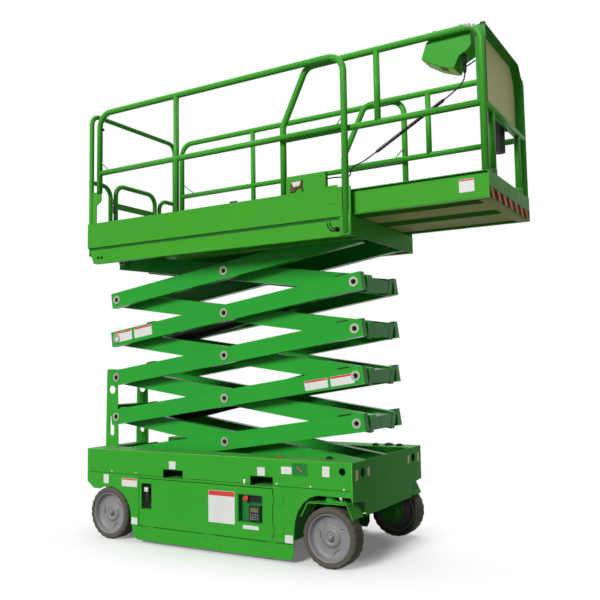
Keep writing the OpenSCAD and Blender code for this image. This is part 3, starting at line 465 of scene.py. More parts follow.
def plateShape(outline, origin, across, upward, thick, bevel):
    # an outline carried along its normal: back edge, front edge, and a face drawn in by the bevel
    outline = np.asarray(outline, float)
    origin, across, upward = (np.asarray(v, float) for v in (origin, across, upward))
    normal = np.cross(across, upward)
    centre = outline.mean(0)
    reach = np.abs(outline - centre).max(0)
    drawn = centre + (outline - centre) * np.maximum(1 - bevel / np.maximum(reach, 1e-6), 0.2)
    rings = [(outline, 0.0), (outline, thick - min(bevel, thick / 2)), (drawn, thick)]
    points = np.concatenate([origin + o[:, :1] * across + o[:, 1:] * upward + h * normal for o, h in rings])
    n = len(outline)
    faces = gridFaces(3, n).tolist() + [list(range(n))[::-1], list(range(2 * n, 3 * n))]
    return points, faces


def roundedRect(width, height, radius, steps=3):
    # corner arcs of a rectangle centred on the origin
    turn = np.radians(np.concatenate([np.linspace(0, 90, steps) + 90 * k for k in range(4)]))
    corner = np.repeat([[1, 1], [-1, 1], [-1, -1], [1, -1]], steps, axis=0)
    corner = corner * [width / 2 - radius, height / 2 - radius]
    return corner + radius * np.stack([np.cos(turn), np.sin(turn)], 1)


def ringOutline(radii, steps):
    # points round the origin, their radii taken in turn
    turn = np.linspace(0, 2 * np.pi, steps, endpoint=False)
    return np.resize(radii, steps)[:, None] * np.stack([np.cos(turn), np.sin(turn)], 1)


def turnedShape(profile, origin, axis, sides):
    # a profile of radius and height turned round an axis through the origin
    profile = np.asarray(profile, float)
    axis = np.asarray(axis, float) / np.linalg.norm(axis)
    side = np.cross(axis, (0.0, 0.0, 1.0))
    side = np.array((1.0, 0.0, 0.0)) if np.linalg.norm(side) < 0.1 else side / np.linalg.norm(side)
    top = np.cross(axis, side)
    turn = np.linspace(0, 2 * np.pi, sides, endpoint=False)
    circle = np.cos(turn)[:, None] * side + np.sin(turn)[:, None] * top
    points = np.asarray(origin, float) + profile[:, None, :1] * circle + profile[:, None, 1:] * axis
    return points.reshape(-1, 3), gridFaces(len(profile), sides).tolist()


def smoothPath(points, steps):
    # Catmull-Rom curve through the points
    p = np.asarray(points, float)
    p = np.concatenate([[2 * p[0] - p[1]], p, [2 * p[-1] - p[-2]]])
    t = np.linspace(0, 1, steps, endpoint=False)[None, :, None]
    a, b, c, d = (p[i:len(p) - 3 + i][:, None] for i in range(4))
    squared, cubed = 2 * a - 5 * b + 4 * c - d, 3 * b - a - 3 * c + d
    curve = 0.5 * (2 * b + (c - a) * t + squared * t ** 2 + cubed * t ** 3)
    return np.concatenate([curve.reshape(-1, 3), p[-2:-1]])


def boxShape(low, high, bevel=1.0):
    # an upright block, its top edges drawn in
    low, high = np.asarray(low, float), np.asarray(high, float)
    size = high - low
    middle = (low + high) / 2
    outline = roundedRect(size[0], size[1], min(size[:2]) * 0.12, 2)
    origin = (middle[0], middle[1], low[2])
    return plateShape(outline, origin, (1, 0, 0), (0, 1, 0), size[2], min(bevel, size[2] / 3))


def nearPlate(x0, x1, z0, z1, face, thick=0.8):
    # a thin plate with round corners on a face that looks to the near side
    outline = roundedRect(x1 - x0, z1 - z0, min(4.0, (z1 - z0) * 0.2))
    middle = ((x0 + x1) / 2, face + 0.05, (z0 + z1) / 2)
    return plateShape(outline, middle, across, up, thick, 0.3)


def addPiece(name, shapes, finish, body, smooth=False):
    # shapes in millimetres joined into one mesh that rides on a body, with the finish as its material
    counts = np.cumsum([0] + [len(points) for points, _ in shapes])
    points = toFrame(np.concatenate([points for points, _ in shapes]))
    faces = [[int(i) + int(start) for i in face]
             for (_, part), start in zip(shapes, counts) for face in part]
    piece = meshFrom(name, points, faces, smooth)
    piece.data.materials.append(finishes[finish])
    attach(piece, body)
    return piece


# Wheels: grey solid tyres with notched shoulders, dished discs with raised ribs and a slotted nut
wheels = {
    "axles": {"front": 965.0, "rear": -905.0},
    "height": 190.5,
    "across": 510.5,
    "tyreProfile": [(150.4, -57.5), (160, -63.5), (176, -63.5), (187.5, -55), (190.5, -44), (190.5, 44),
                    (187.5, 55), (176, 63.5), (160, 63.5), (150.4, 57.5)],
    "notchDeep": 6.0,
    "notchEvery": 3,
    "notchShare": [0, 0, 0.25, 1, 0.35, 0.35, 1, 0.25, 0, 0],
    "discProfile": [(25.2, -20), (60, -20), (60, 4), (139, 10), (140, -61), (150, -61.5), (150, 60),
                    (148, 61.5), (145, 61), (139, 46), (133, 33), (127, 26), (116, 21.5), (100, 19),
                    (76, 18), (66, 20), (61, 27), (55, 33), (46, 35), (38, 35), (35, 31), (24, 31),
                    (24, 35), (0.5, 35)],
    "ribPath": [(124, -2), (121, 8), (112, 15), (98, 18), (88, 24), (84, 46)],
    "ribs": {"count": 3, "start": 20, "level": 20.5, "radius": 5.2},
    "nut": {"radii": [21, 21, 17, 17], "points": 24, "level": 34, "thick": 13},
    "axleEnd": [(9, 40), (9, 50), (7, 52), (0.5, 52)],
}


def tyreShape(spec, sides=72):
    # a turned profile, each ring drawn in by its share of the notch at every third step
    profile = np.asarray(spec["tyreProfile"], float)
    turn = np.linspace(0, 2 * np.pi, sides, endpoint=False)
    notch = (np.arange(sides) % spec["notchEvery"] == 0).astype(float)
    share = np.asarray(spec["notchShare"], float)
    r = profile[:, :1] - spec["notchDeep"] * share[:, None] * notch
    points = np.stack([r * np.cos(turn), np.broadcast_to(profile[:, 1:], r.shape), r * np.sin(turn)], -1)
    last = (len(profile) - 1) * sides
    faces = gridFaces(len(profile), sides).tolist()
    faces += [[last + i, last + (i + 1) % sides, (i + 1) % sides, i] for i in range(sides)]
    return points.reshape(-1, 3), [f[::-1] for f in faces]


def discShapes(spec):
    # the turned disc, curved ribs laid on it at equal turns, the slotted nut and the axle's end
    middle, outward = (0, 0, 0), (0, 1, 0)
    shapes = [turnedShape(spec["discProfile"], middle, outward, 72)]
    rib, ribs, nut = np.asarray(spec["ribPath"], float), spec["ribs"], spec["nut"]
    for k in range(ribs["count"]):
        turn = np.radians(rib[:, 1] + 360 / ribs["count"] * k + ribs["start"])
        level = np.full(len(rib), ribs["level"])
        path = np.stack([rib[:, 0] * np.cos(turn), level, rib[:, 0] * np.sin(turn)], 1)
        shapes.append(tubeShape(smoothPath(path, 4), ribs["radius"], 6))
    crown = ringOutline(nut["radii"], nut["points"])
    shapes.append(plateShape(crown, (0, nut["level"], 0), (0, 0, 1), (1, 0, 0), nut["thick"], 1.5))
    shapes.append(turnedShape(spec["axleEnd"], middle, outward, 16))
    return shapes


def makeWheels(spec):
    for end, x in spec["axles"].items():
        for side, sign in (("left", 1), ("right", -1)):
            where = np.array([x, sign * spec["across"], spec["height"]])
            flip = np.array([1, sign, 1])
            parts = (("Tyre", [tyreShape(spec)], "tyre_rubber", f"tyre_{end}_{side}"),
                     ("Disc", discShapes(spec), "wheel_paint", f"hub_{end}_{side}"))
            for kind, shapes, finish, node in parts:
                placed = [(points * flip + where, faces if sign > 0 else [f[::-1] for f in faces])
                          for points, faces in shapes]
                piece = addPiece(f"{end}{side.title()}{kind}", placed, finish, f"wheel_{end}_{side}",
                                 smooth=kind == "Disc")
                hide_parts(node)


makeWheels(wheels)
print("wheels made")

# Rails: upright, bends and foot in x and z, level tubes between them, flared feet and rear gussets
rails = {
    "tube": 45,
    "slim": 42,
    "deck": {"y": 510, "top": 3300, "middle": 2817.5, "toe": 2417.5, "rear": -1085, "rearFoot": 2660.5,
             "post": -300, "front": 1105, "foot": 2116.5, "bend": 110},
    "flare": [(1060, 2099), (1141, 2099), (1141, 2217), (1124, 2267), (1086, 2267), (1060, 2217)],
    "flareY": (515.5, 521.5),
    "gusset": [(-1189, 2417.5), (-1119, 2417.5), (-1119, 2562.5), (-1067, 2594.5), (-1067, 2668.5),
               (-1189, 2668.5)],
    "gussetHalf": 5,
    "extension": {"y": 458, "top": 3296, "middle": 2817.5, "rear": 605, "lean": 195, "leanDeep": 385,
                  "post": 1320, "front": 2008, "frontPost": 300, "foot": 2403.5, "bend": 90},
    "socket": {"back": 24, "ahead": 20, "half": 24, "high": 40},
    "canisterArm": ((1961, 155, 2807.5), (2000, 185, 2827.5)),
}


def bentPath(corners, radius, steps=7):
    # straight runs joined by arcs of one radius that touch both of them
    corners = np.asarray(corners, float)
    runs = [corners[:1]]
    for before, here, after in zip(corners[:-2], corners[1:-1], corners[2:]):
        a = (before - here) / np.linalg.norm(before - here)
        b = (after - here) / np.linalg.norm(after - here)
        half = math.acos(float(np.clip(a @ b, -1, 1))) / 2
        reach = radius / math.tan(half)
        middle = here + (a + b) / np.linalg.norm(a + b) * radius / math.sin(half)
        start, end = here + a * reach - middle, here + b * reach - middle
        t = np.linspace(0, 1, steps)[:, None]
        sweep = math.pi - 2 * half
        arc = (np.sin((1 - t) * sweep) * start + np.sin(t * sweep) * end) / math.sin(sweep)
        runs.append(middle + arc)
    runs.append(corners[-1:])
    return np.concatenate(runs)


def tubeXz(y, corners, radius, width, sides=14):
    # a bent tube that stays in one upright plane
    flat = bentPath(corners, radius) if len(corners) > 2 else np.asarray(corners, float)
    path = np.stack([flat[:, 0], np.full(len(flat), y), flat[:, 1]], 1)
    return tubeShape(path, width / 2, sides)


def sidePlate(outline, y0, y1):
    # an outline in x and z, from y0 to y1
    low, high = min(y0, y1), max(y0, y1)
    return plateShape(outline, (0, high, 0), across, up, high - low, 1.2)


def makeDeckRails(spec):
    tube, slim, d = spec["tube"], spec["slim"], spec["deck"]
    low, high = spec["flareY"]
    for name, node, sign in (("railNear", "rail_near", -1), ("railFar", "rail_far", 1)):
        y = sign * d["y"]
        over = [(d["rear"], d["rearFoot"]), (d["rear"], d["top"]), (d["front"], d["top"]),
                (d["front"], d["foot"])]
        shapes = [tubeXz(y, over, d["bend"], tube),
                  tubeXz(y, [(d["rear"], d["middle"]), (d["front"], d["middle"])], 0, slim),
                  tubeXz(y, [(d["post"], d["toe"]), (d["post"], d["top"])], 0, slim),
                  sidePlate(spec["flare"], sign * low, sign * high)]
        piece = addPiece(name, shapes, "rail_paint", "deck", smooth=True)
        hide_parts(node)
        gusset = sidePlate(spec["gusset"], y - spec["gussetHalf"], y + spec["gussetHalf"])
        addPiece(name + "Gusset", [gusset], "rail_paint", "deck")


def makeExtensionRails(spec):
    tube, slim, e, socket = spec["tube"], spec["slim"], spec["extension"], spec["socket"]
    shapes = []
    for sign in (-1, 1):
        y, post = sign * e["y"], sign * e["frontPost"]
        over = [(e["rear"], e["foot"]), (e["rear"], e["top"] - e["leanDeep"]),
                (e["rear"] + e["lean"], e["top"]), (e["front"], e["top"]), (e["front"], e["foot"])]
        low = (e["front"] - socket["back"], post - socket["half"], e["foot"])
        high = (e["front"] + socket["ahead"], post + socket["half"], e["foot"] + socket["high"])
        shapes += [tubeXz(y, over, e["bend"], tube),
                   tubeXz(y, [(e["rear"], e["middle"]), (e["front"], e["middle"])], 0, slim),
                   tubeXz(y, [(e["post"], e["middle"]), (e["post"], e["top"])], 0, slim),
                   tubeXz(post, [(e["front"], e["foot"]), (e["front"], e["middle"])], 0, slim),
                   boxShape(low, high, 2)]
    bar = [(e["front"], -e["y"], e["middle"]), (e["front"], e["y"], e["middle"])]
    shapes += [tubeShape(bar, tube / 2, 14), boxShape(*spec["canisterArm"])]
    piece = addPiece("extensionRails", shapes, "rail_paint", "extension", smooth=True)
    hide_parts("extension_rails")


makeDeckRails(rails)
makeExtensionRails(rails)
print("rails bent")

# Cover of the controls: a side outline carried across, hooks over the rail, an underside painted pale as if
# lit, a black sheet painted as the shade in a slot, and a plug
cover = {
    "outline": [(1700, 3306), (1655, 3269), (1620, 3172), (1712, 3113), (1800, 3078), (1826, 3072),
                (1865, 3144), (1918, 3169), (1940, 3195), (1940, 3306)],
    "side": (-438, -288),
    "hookX": (1706, 1871),
    "hookFrom": ((-466, 3318), (-438, 3300)),
    "hookTo": (-378, 3321),
    "hookWide": 30,
    "lower": {"corners": slice(2, 6), "drop": 1.2, "inset": 3},
    "slot": [(1730, -424, 3104.1), (1780, -424, 3084.2), (1780, -360, 3084.2), (1730, -360, 3104.1)],
    "plug": [(4.6, 0), (7, 2), (10, 14), (12, 20), (12, 60), (15, 62), (15, 72), (12, 74), (12, 118)],
    "plugAt": (1885, -402, 3036),
}


def makeCover(spec):
    y0, y1 = spec["side"]
    outline, lower = np.asarray(spec["outline"], float), spec["lower"]
    shapes = [sidePlate(outline[::-1], y0, y1)]
    shapes += [boxShape((x, y, z), (x + spec["hookWide"], *spec["hookTo"]))
               for y, z in spec["hookFrom"] for x in spec["hookX"]]
    piece = addPiece("controlCover", shapes, "coverGreen", "extension")
    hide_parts("control_box")
    edge = outline[lower["corners"]] - [0, lower["drop"]]
    rows = np.array([(x, y, z) for x, z in edge for y in (y0 + lower["inset"], y1 - lower["inset"])])
    strips = [[0, 1, 3, 2], [2, 3, 5, 4], [4, 5, 7, 6]]
    # underside in olive painted pale, as if lit
    addPiece("coverUnderside", [(rows, strips)], "oliveSheetPaintedLit", "extension")
    # a black sheet painted as the shade inside the slot
    addPiece("coverSlot", [(np.array(spec["slot"]), [[0, 3, 2, 1]])], "black_parts", "extension")
    plug = turnedShape(spec["plug"], spec["plugAt"], up, 16)
    addPiece("cordPlug", [plug], "black_parts", "extension", smooth=True)


makeCover(cover)

# Front tray: a rim in a darker green painted as shade, following its outline round a back sheet; olive inside
# and behind, painted pale as if lit
tray = {
    "outline": [(-438, 2822), (438, 2822), (438, 3094), (420, 3212), (330, 3310), (-438, 3310)],
    "back": 1966,
    "front": 2030.5,
    "wall": 6,
    "sheet": 4,
    "clear": 0.2,
    "behind": 4.8,
}


def makeTray(spec):
    outline = np.asarray(spec["outline"], float)
    n = len(outline)
    centre = outline.mean(0)
    inner = centre + (outline - centre) * (1 - spec["wall"] / np.abs(outline - centre).max(0))
    rings = [(outline, spec["back"]), (outline, spec["front"]), (inner, spec["front"]),
             (inner, spec["back"] + spec["sheet"])]
    points = np.concatenate([np.column_stack([np.full(n, x), ring]) for ring, x in rings])
    rim = (points, gridFaces(4, n).tolist() + [list(range(n))[::-1]])
    # the rim's darker green is painted shade
    piece = addPiece("frontTray", [rim], "trayRimPaintedShade", "extension")
    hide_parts("front_panel")
    sheet = np.column_stack([np.full(n, spec["back"] + (spec["sheet"] + spec["clear"])), inner])
    # the back sheet's pale olive is painted light
    addPiece("trayBack", [(sheet, [list(range(n))])], "oliveSheetPaintedLit", "extension")
    behind = sheet - [spec["behind"], 0, 0]
    addPiece("trayRear", [(behind, [list(range(n))[::-1]])], "oliveSheetPaintedLit", "extension")


makeTray(tray)

# Faces of the near side and the top of the chassis
sideFace = -566.0
doorFace = sideFace
chassisTop = 660


def nearDisc(x, z, radius, face, thick, sides):
    # a low round cap that looks to the near side
    profile = [(radius, 0), (radius, thick * 0.7), (radius * 0.85, thick), (0.3, thick)]
    return turnedShape(profile, (x, face, z), near, sides)


def doorBlock(x0, x1, z0, z1, y0, y1, bevel):
    # a block from its x, z and depths behind the door's face
    return boxShape((x0, doorFace + y0, z0), (x1, doorFace + y1, z1), bevel)


def wireShape(points, steps, radius, sides):
    return tubeShape(smoothPath(points, steps), radius, sides)


def rimShape(x0, x1, z0, z1, face, radius):
    # a thin closed tube round an opening with round corners
    rim = roundedRect(x1 - x0, z1 - z0, 6, 4)
    path = np.column_stack([rim[:, 0] + (x0 + x1) / 2, np.full(len(rim), face), rim[:, 1] + (z0 + z1) / 2])
    return tubeShape(np.concatenate([path, path[:1]]), radius, 6)


def capShape(x, y, r):
    profile = [(r, 0), (r, 9), (r - 3, 13), (r * 0.6, 14), (r * 0.5, 18), (0.3, 18)]
    return turnedShape(profile, (x, y, chassisTop), up, 24)


def springShape(profile, scale, at):
    points, faces = turnedShape(profile, (0, 0, 0), up, 18)
    return points * scale + at, faces


def toeBoard(lip, x0, x1, sign):
    # an edge outline in y and z carried along x, on the near side with a sign of minus one
    n = len(lip)
    y, z = np.array(lip).T
    ends = [np.column_stack([np.full(n, x), y * sign, z]) for x in (x0, x1)]
    quads = [q if sign > 0 else q[::-1] for q in gridFaces(2, n).tolist()]
    return np.concatenate(ends), quads + [list(range(n)), list(range(n, 2 * n))]


def addParts(parts):
    # each part's finish, body, slot (not used), whether it is smooth, and its shapes as a function and what
    # it takes
    for name, (finish, body, slot, smooth, shapes) in parts.items():
        addPiece(name, [make(*values) for make, *values in shapes], finish, body, smooth)


# Sheets: bevelled toe boards, rounded front arches, the extension's underside in olive painted as warm bounce
# light with darker bands painted as shade on its ribs, and painted shadow lines under lips
boardLip = [(515.2, 2222), (523, 2222), (525, 2224), (525, 2415.5), (523, 2417.5), (515.2, 2417.5)]
arch = [(709, 200), (718, 273), (737, 332), (780, 393), (832, 433), (891, 448), (709, 448)]
addParts({
    "toeBoards": ("deck_paint", "deck", None, False,
                  [(toeBoard, boardLip, -1198, 1084, sign) for sign in (-1, 1)]),
    "archFillets": ("frame_paint", "chassis", None, False,
                    [(sidePlate, arch, -566, -558), (sidePlate, arch, 558, 566)]),
    # olive painted as warm bounce light on the underside
    "extensionUnderside": ("olivePaintedBounceLight", "extension", "panel_sheet", False,
                           [(boxShape, (205, -431, 2234.6), (1960, 431, 2236.2), 0.3)]),
    # darker bands painted as the shade on the ribs
    "extensionBands": ("ribBandPaintedShade", "extension", "deck_paint", False,
                       [(boxShape, (205, y0, 2233.8), (1955, y1, 2234.7), 0.2)
                        for y0, y1 in ((-431, -330), (-95, 60), (340, 431))]),
    # olive painted as warm bounce light on the front member
    "extensionFrontMember": ("olivePaintedBounceLight", "extension", "panel_sheet", False,
                             [(boxShape, (1950, -431, 2234.2), (2024, 431, 2236.2), 0.3)]),
    # dark strips painted as the shadow under the lips
    "channelShade": ("lineShade", "deck", "deck_paint", False,
                     [(nearPlate, -1190, 1082, 2203, 2222, -515.2, 0.4)]),
    "extensionShade": ("lineShade", "extension", "deck_paint", False,
                       [(nearPlate, 210, 2018, z0, z1, -460.1, 0.4)
                        for z0, z1 in ((2386, 2397), (2241, 2247))]),
})
print("sheets set")

# Blank plates on the near side: x from, x to, z from, z to, and the depth of a red strip along the top
nearPlates = {
    "chassisPlates": {"body": "chassis", "face": sideFace, "plates": [
        (-968, -915, 408, 475, 0), (-783, -631, 398, 458, 12), (-686, -628, 129, 179, 0),
        (-328, -267, 548, 602, 0), (431, 491, 547, 602, 0), (618, 698, 569, 616, 0),
        (924, 976, 567, 633, 0), (640, 700, 132, 182, 0)]},
    "doorPlates": {"body": "door_right", "face": sideFace, "plates": [
        (23, 245, 210, 426, 34), (311, 438, 190, 215, 0)]},
    "extensionPlates": {"body": "extension", "face": -460.0, "plates": [(1842, 1936, 2286, 2366, 12)]},
}
plateThick = 0.8
stripThick = 0.3


def makeNearPlates(spec):
    for name, group in spec.items():
        face = group["face"]
        white = [nearPlate(x0, x1, z0, z1, face) for x0, x1, z0, z1, _ in group["plates"]]
        addPiece(name, white, "plateWhite", group["body"])
        red = [nearPlate(x0 + 2, x1 - 2, z1 - strip, z1 - 2, face - plateThick, stripThick)
               for x0, x1, _, z1, strip in group["plates"] if strip]
        if red:
            addPiece(name.replace("Plates", "RedStrips"), red, "plateRed", group["body"])


# The scissor stack as it stands at rest, for what lies along its arms
stack = {"rise": 312.691, "base": 570.0, "middle": -27.6, "tilt": math.radians(8.31)}
stack["along"] = np.array([math.cos(stack["tilt"]), 0, math.sin(stack["tilt"])])
stack["over"] = np.array([-math.sin(stack["tilt"]), 0, math.cos(stack["tilt"])])


def armMiddle(level, y):
    return np.array([stack["middle"], y, stack["base"] + (level - 0.5) * stack["rise"]])


# Plates on the arms: place along x, height above the arm's middle line, width and height
armPlates = {
    "face": -300.0,
    "corner": 5,
    "strip": {"high": 13, "below": 8, "narrower": 4, "corner": 3},
    "sets": {"outer_4": [(-1025, 9, 184, 82), (-817, 9, 184, 82)],
             "outer_2": [(740, -12, 182, 66), (940, -12, 178, 66)]},
}


def makeArmPlates(spec):
    # each plate lies in the plane of its raised arm, measured from the arm's middle pin
    along, over, strip = stack["along"], stack["over"], spec["strip"]
    for body, plates in spec["sets"].items():
        middle = armMiddle(int(body[-1]), spec["face"] + 0.05)
        white, red = [], []
        for place, above, width, height in plates:
            centre = middle + along * (place - stack["middle"]) / math.cos(stack["tilt"]) + over * above
            outline = roundedRect(width, height, spec["corner"])
            white.append(plateShape(outline, centre, along, over, plateThick, 0.3))
            top = centre + over * (height / 2 - strip["below"]) - np.array([0, plateThick, 0])
            outline = roundedRect(width - strip["narrower"], strip["high"], strip["corner"])
            red.append(plateShape(outline, top, along, over, stripThick, 0.1))
        name = body.replace("_", "")
        addPiece(name + "Plates", white, "plateWhite", body)
        addPiece(name + "RedStrips", red, "plateRed", body)


makeNearPlates(nearPlates)
makeArmPlates(armPlates)
print("plates set")

# Front face: leaning stripes on the extension, pale tags beside the tie-down holes: y, z, width and height
frontFace = {
    "bandX": 2030.95,
    "band": (-470, 470, 2240, 2306),
    "bandThick": 0.3,
    "stripeThick": 0.2,
    "stripes": 7,
    "start": 14,
    "edge": 3,
    "lean": 42,
    "width": 62,
    "tagX": 1137.2,
    "tagThick": 0.7,
    "tags": [(-505, 548, 34, 66), (-335, 556, 30, 56), (330, 556, 30, 56), (510, 552, 32, 62)],
}


def makeFrontFace(spec):
    level = (0, 1, 0)
    y0, y1, z0, z1 = spec["band"]
    x, thick = spec["bandX"], spec["bandThick"]
    band = plateShape([(y0, z0), (y1, z0), (y1, z1), (y0, z1)], (x, 0, 0), level, up, thick, 0.1)
    addPiece("hazardBand", [band], "hazardBlack", "extension")
    starts = y0 + spec["start"] + (y1 - y0) / spec["stripes"] * np.arange(spec["stripes"])
    lean, width, low, high = spec["lean"], spec["width"], z0 + spec["edge"], z1 - spec["edge"]
    stripes = [plateShape([(y, high), (y + lean, low), (y + lean + width, low), (y + width, high)],
                          (x + thick, 0, 0), level, up, spec["stripeThick"], 0.1) for y in starts]
    addPiece("hazardStripes", stripes, "hazardOrange", "extension")
    tags = [plateShape(roundedRect(w, h, 3), (spec["tagX"], y, z + h / 2), level, up, spec["tagThick"], 0.2)
            for y, z, w, h in spec["tags"]]
    addPiece("frontTags", tags, "plateTan", "chassis")


makeFrontFace(frontFace)
print("front face marked")

# Ground control and latch in the right-hand door: depths are measured inward from the door's face
# the ground control's recess gets a darker green painted as its shade
for place in nodes["ground_control"].material_slots:
    place.material = finishes["recessPaintedShade"]
switch = [(9, 0), (9, 5), (7, 6), (0.3, 6)]
stopKnob = [(16.6, 0), (16.6, 16), (20, 18), (21, 22), (19, 26), (12, 28), (0.3, 28.5)]
latchPocket = [(-588, 249), (-494, 249), (-494, 431), (-588, 431)]
addParts({
    "controlFronts": ("black_parts", "door_right", None, False,
                      [(nearPlate, 314, 466, 366.5, 411.5, doorFace + 24, 1.5),
                       (nearPlate, 349, 438, 244, 342, doorFace + 16, 1.5)]
                      + [(turnedShape, switch, (x, doorFace + 22.5, 389), near, 16)
                         for x in (385, 412, 440)]),
    "controlScreen": ("screenOlive", "door_right", "black_parts", False,
                      [(nearPlate, 362, 425, 300, 330, doorFace + 14.4, 0.8)]),
    "controlKeys": ("greyHose", "door_right", "black_parts", True,
                    [(nearDisc, x, z, 5, doorFace + 14.4, 2.4, 12) for x in (366, 384, 402, 420)
                     for z in (284, 268, 254)]),
    "stopButton": ("buttonRed", "door_right", "black_parts", True,
                   [(turnedShape, stopKnob, (335, doorFace + 24, 389), near, 28)]),
    "latchBack": ("black_parts", "door_right", None, False,
                  [(sidePlate, latchPocket, doorFace + 34, doorFace + 35.5),
                   (doorBlock, -560, -520, 300, 400, 4, 30, 3)]),
    "latchHandle": ("boltZinc", "door_right", "bare_steel", False,
                    [(doorBlock, -566, -528, 372, 404, 3, 12, 2),
                     (nearDisc, -547, 388, 9, doorFace + 3, 2.4, 18)]),
    "latchStrip": ("plateWhite", "door_right", "panel_sheet", False,
                   [(nearPlate, -513, -499, 262, 352, doorFace + 33, 0.8)]),
})

# Small parts of the chassis side: lever recess painted darker as shade, painted highlights along the edges, a
# hole as a dark disc of painted shade, fold line with painted shade under its lip, screws, caps, guard covers
# and painted shade along the guard's top
recess = (706, 816, 562, 644)
lever = [(742, -568, 622), (752, -570.5, 606), (768, -571.5, 598), (782, -571, 590)]
pivot = [(0.3, 0), (8, 0), (8, 4), (6, 6), (0.3, 6)]
button = [(13, 0), (14, 6), (12, 11), (6, 13), (0.3, 13.4)]
foldZ = 488
foldRuns = [(-1110, -636), (-636, -392), (-192, 366), (566, 1118)]
guardEdge = [(-684, 116), (704, 116), (704, 128), (-684, 128)]
addParts({
    # a darker plate painted as the shade of the lever recess
    "leverRecess": ("recessPaintedShade", "chassis", "frame_paint", False, [(nearPlate, *recess, sideFace, 0.9)]),
    "leverRim": ("frame_paint", "chassis", None, True, [(rimShape, *recess, sideFace - 1, 2.2)]),
    "leverHandle": ("buttonRed", "chassis", "black_parts", True,
                    [(wireShape, lever, 5, 3.4, 8), (turnedShape, pivot, (770, -567, 598), near, 18)]),
    # thin bright tubes painted as highlights along the top and front edges
    "edgeHighlightStrips": ("edgePaintedHighlight", "chassis", "frame_paint", True,
                     [(tubeShape, [(1131.5, -564.6, 402), (1131.5, -564.6, 660)], 1.8, 8),
                      (tubeShape, [(-1137, -564.8, 660), (1131, -564.8, 660)], 1.8, 8)]),
    # a dark disc painted as the shade inside a hole
    "roundHole": ("holePaintedShade", "chassis", "black_parts", False,
                  [(nearDisc, 1066, 606, 23, sideFace, 0.7, 32)]),
    # a dark strip painted as the shade under the fold's lip
    "foldShadeLine": ("lineShade", "chassis", "frame_paint", False,
                 [(nearPlate, x0, x1, foldZ - 2.6, foldZ + 2.0, sideFace, 0.5) for x0, x1 in foldRuns]),
    "foldLip": ("frame_paint", "chassis", None, False,
                [(nearPlate, x0, x1, foldZ + 2.0, foldZ + 7, sideFace, 1.6) for x0, x1 in foldRuns]),
    "sideScrews": ("boltZinc", "chassis", "bare_steel", True,
                   [(nearDisc, x, z, 6.5, sideFace, 2.6, 14)
                    for x, z in ((-882, 502), (-642, 504), (582, 501), (837, 499), (1076, 496))]
                   + [(nearPlate, 318, 334, 484, 516, sideFace, 3)]),
    "topCaps": ("black_parts", "chassis", None, True,
                [(capShape, 900, -424, 24), (capShape, 916, 488, 34), (capShape, 830, 440, 26),
                 (capShape, 1010, 470, 26)]),
    "guardCovers": ("frame_paint", "guard_right", None, False,
                    [(nearPlate, x - 19, x + 17, 102.5, 127, sideFace - 2, 0.6) for x in (-520, 0, 520)]),
    # a dark strip painted as the shade in the gap along the guard's top edge
    "guardShadeStrip": ("lineShade", "guard_right", "frame_paint", False, [(sidePlate, guardEdge, -561, -559.6)]),
    "topButton": ("buttonRed", "chassis", "black_parts", True,
                  [(turnedShape, button, (578, -504, chassisTop), up, 20)]),
})
print("near side fitted")

# Small parts of the deck: holes drawn as dark discs of painted shade, and leads on the channel, outlet,
# plates, spring, knob, lanyards, cap and rod
leadEnd = [(15, 0), (15, 5), (12, 7), (0.3, 7)]
leads = [[(988, -516, 2196), (992, -522, 2176), (1006, -524, 2158), (1026, -522, 2150), (1044, -519, 2146)],
         [(970, -516, 2192), (975, -524, 2168), (992, -527, 2146), (1020, -525, 2136), (1040, -519, 2140)]]
outlet = [(694, 2426), (730, 2426), (742, 2446), (786, 2456), (792, 2500), (702, 2500)]
grip = [(782, -526, 2462), (790, -530, 2446), (788, -530, 2430), (796, -528, 2422)]
lid = [(724, 2456), (772, 2462), (786, 2494), (708, 2494)]
spring = [(8, 0), (13, 2), (13, 12), (9, 14), (13, 16), (13, 28), (9, 30), (13, 32), (13, 44), (9, 46),
          (13, 48), (13, 60), (9, 62), (13, 64), (13, 74), (8, 76)]
knob = [(5, 0), (5, 10), (11, 12), (12, 20), (8, 25), (0.3, 26)]
deckLanyards = [[(-1062, -512, 2898), (-1036, -516, 2876), (-1008, -516, 2852), (-988, -512, 2826)],
                [(-218, -512, 2600), (-192, -515, 2576), (-160, -515, 2556), (-136, -512, 2534)]]
frontLanyards = [[(1000, -462, 2826), (1030, -464, 2858), (1058, -464, 2890), (1084, -462, 2914)],
                 [(1040, 460, 2830), (1062, 464, 2856), (1086, 468, 2882), (1104, 476, 2903)]]
fitting = [(15, 0), (17, 3), (17, 9), (9, 12), (9, 16), (0.3, 17)]
canisterRod = [(1868, -436, 3050), (1900, -436, 3062), (1940, -440, 3076), (1966, -444, 3086)]
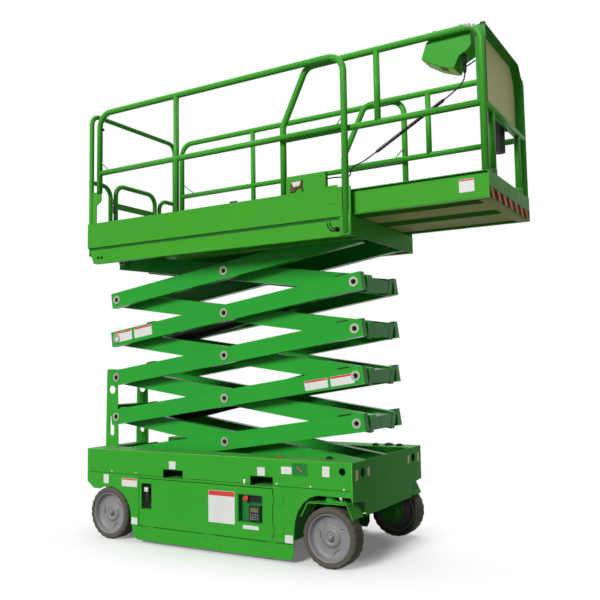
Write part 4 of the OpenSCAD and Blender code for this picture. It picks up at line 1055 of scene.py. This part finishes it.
addParts({
    # dark discs painted as the shade inside holes
    "channelHoles": ("holePaintedShade", "deck", "black_parts", True,
                     [(nearDisc, x, z, r, -515.4, 0.8, 20)
                      for x, z, r in ((-1092, 2142, 11), (-1056, 2140, 11), (1064, 2139, 17))]
                     + [(turnedShape, leadEnd, (1041, -515.5, 2143), near, 20)]),
    "channelLeads": ("cord_black", "deck", None, True, [(wireShape, path, 6, 3.2, 8) for path in leads]),
    "outletPlates": ("deck_paint", "deck", None, False,
                     [(plateShape, roundedRect(302, 119, 4), (811, -516.4, 2477.5), across, up, 2.4, 0.8),
                      (plateShape, roundedRect(86, 122, 6), (1012, -525.4, 2371), across, up, 2.0, 0.8)]),
    "outletFrame": ("springRust", "deck", "black_parts", False,
                    [(plateShape, outlet, (0, -518.6, 0), across, up, 9, 3), (wireShape, grip, 5, 3, 8)]),
    "outletLid": ("plateWhite", "deck", "bare_steel", False,
                  [(plateShape, lid, (0, -527.6, 0), across, up, 6, 3)]),
    "gateSpring": ("springRust", "deck", "bare_steel", True,
                   [(springShape, spring, [0.75, 0.75, 0.9], [-1164, -270, 2545])]),
    "deckKnob": ("black_parts", "deck", None, True,
                 [(turnedShape, knob, (-1068, -510, 3168), (1, 0, 0.2), 18),
                  (boxShape, (176, -500, 2417), (238, -488, 2436), 3)]),
    "pinLanyards": ("rail_paint", "deck", None, True,
                    [(wireShape, path, 5, 4.2, 6) for path in deckLanyards]),
    "railLanyards": ("rail_paint", "extension", None, True,
                     [(wireShape, path, 5, 4.2, 6) for path in frontLanyards]),
    "railFittings": ("boltZinc", "extension", "rail_paint", True,
                     [(turnedShape, fitting, at, (0, -0.9, 0.3), 18)
                      for at in ((1934, -470, 3303), (1962, -470, 3293))]),
    "trayCap": ("black_parts", "extension", None, False,
                [(boxShape, (1999, -441, 3306), (2030, -412, 3320), 2), (tubeShape, canisterRod, 4.2, 8)]),
})
print("deck parts fitted")

# Rest pads of the scissor stack: low blocks with drawn-in ends on the upper edge of the outer arms
pads = {
    "levels": (1, 2, 3, 4),
    "places": (-720, 985),
    "above": 60,
    "across": 270,
    "inset": 22,
    "length": 90,
    "height": 10,
    "ends": 12,
    "width": 44,
}


def makePads(spec):
    along, over = stack["along"], stack["over"]
    half, high = spec["length"] / 2, spec["height"]
    outline = [(-half, 0), (half, 0), (half - spec["ends"], high), (-half + spec["ends"], high)]
    for level in spec["levels"]:
        middle = armMiddle(level, 0)
        blocks = []
        for sign in (-1, 1):
            for place in spec["places"]:
                side = np.array([0, sign * spec["across"] + spec["inset"], 0])
                foot = middle + along * place + over * spec["above"] + side
                blocks.append(plateShape(outline, foot, along, over, spec["width"], 1))
        addPiece(f"restPads{level}", blocks, "black_parts", f"outer_{level}")


makePads(pads)
print("stack parts fitted")
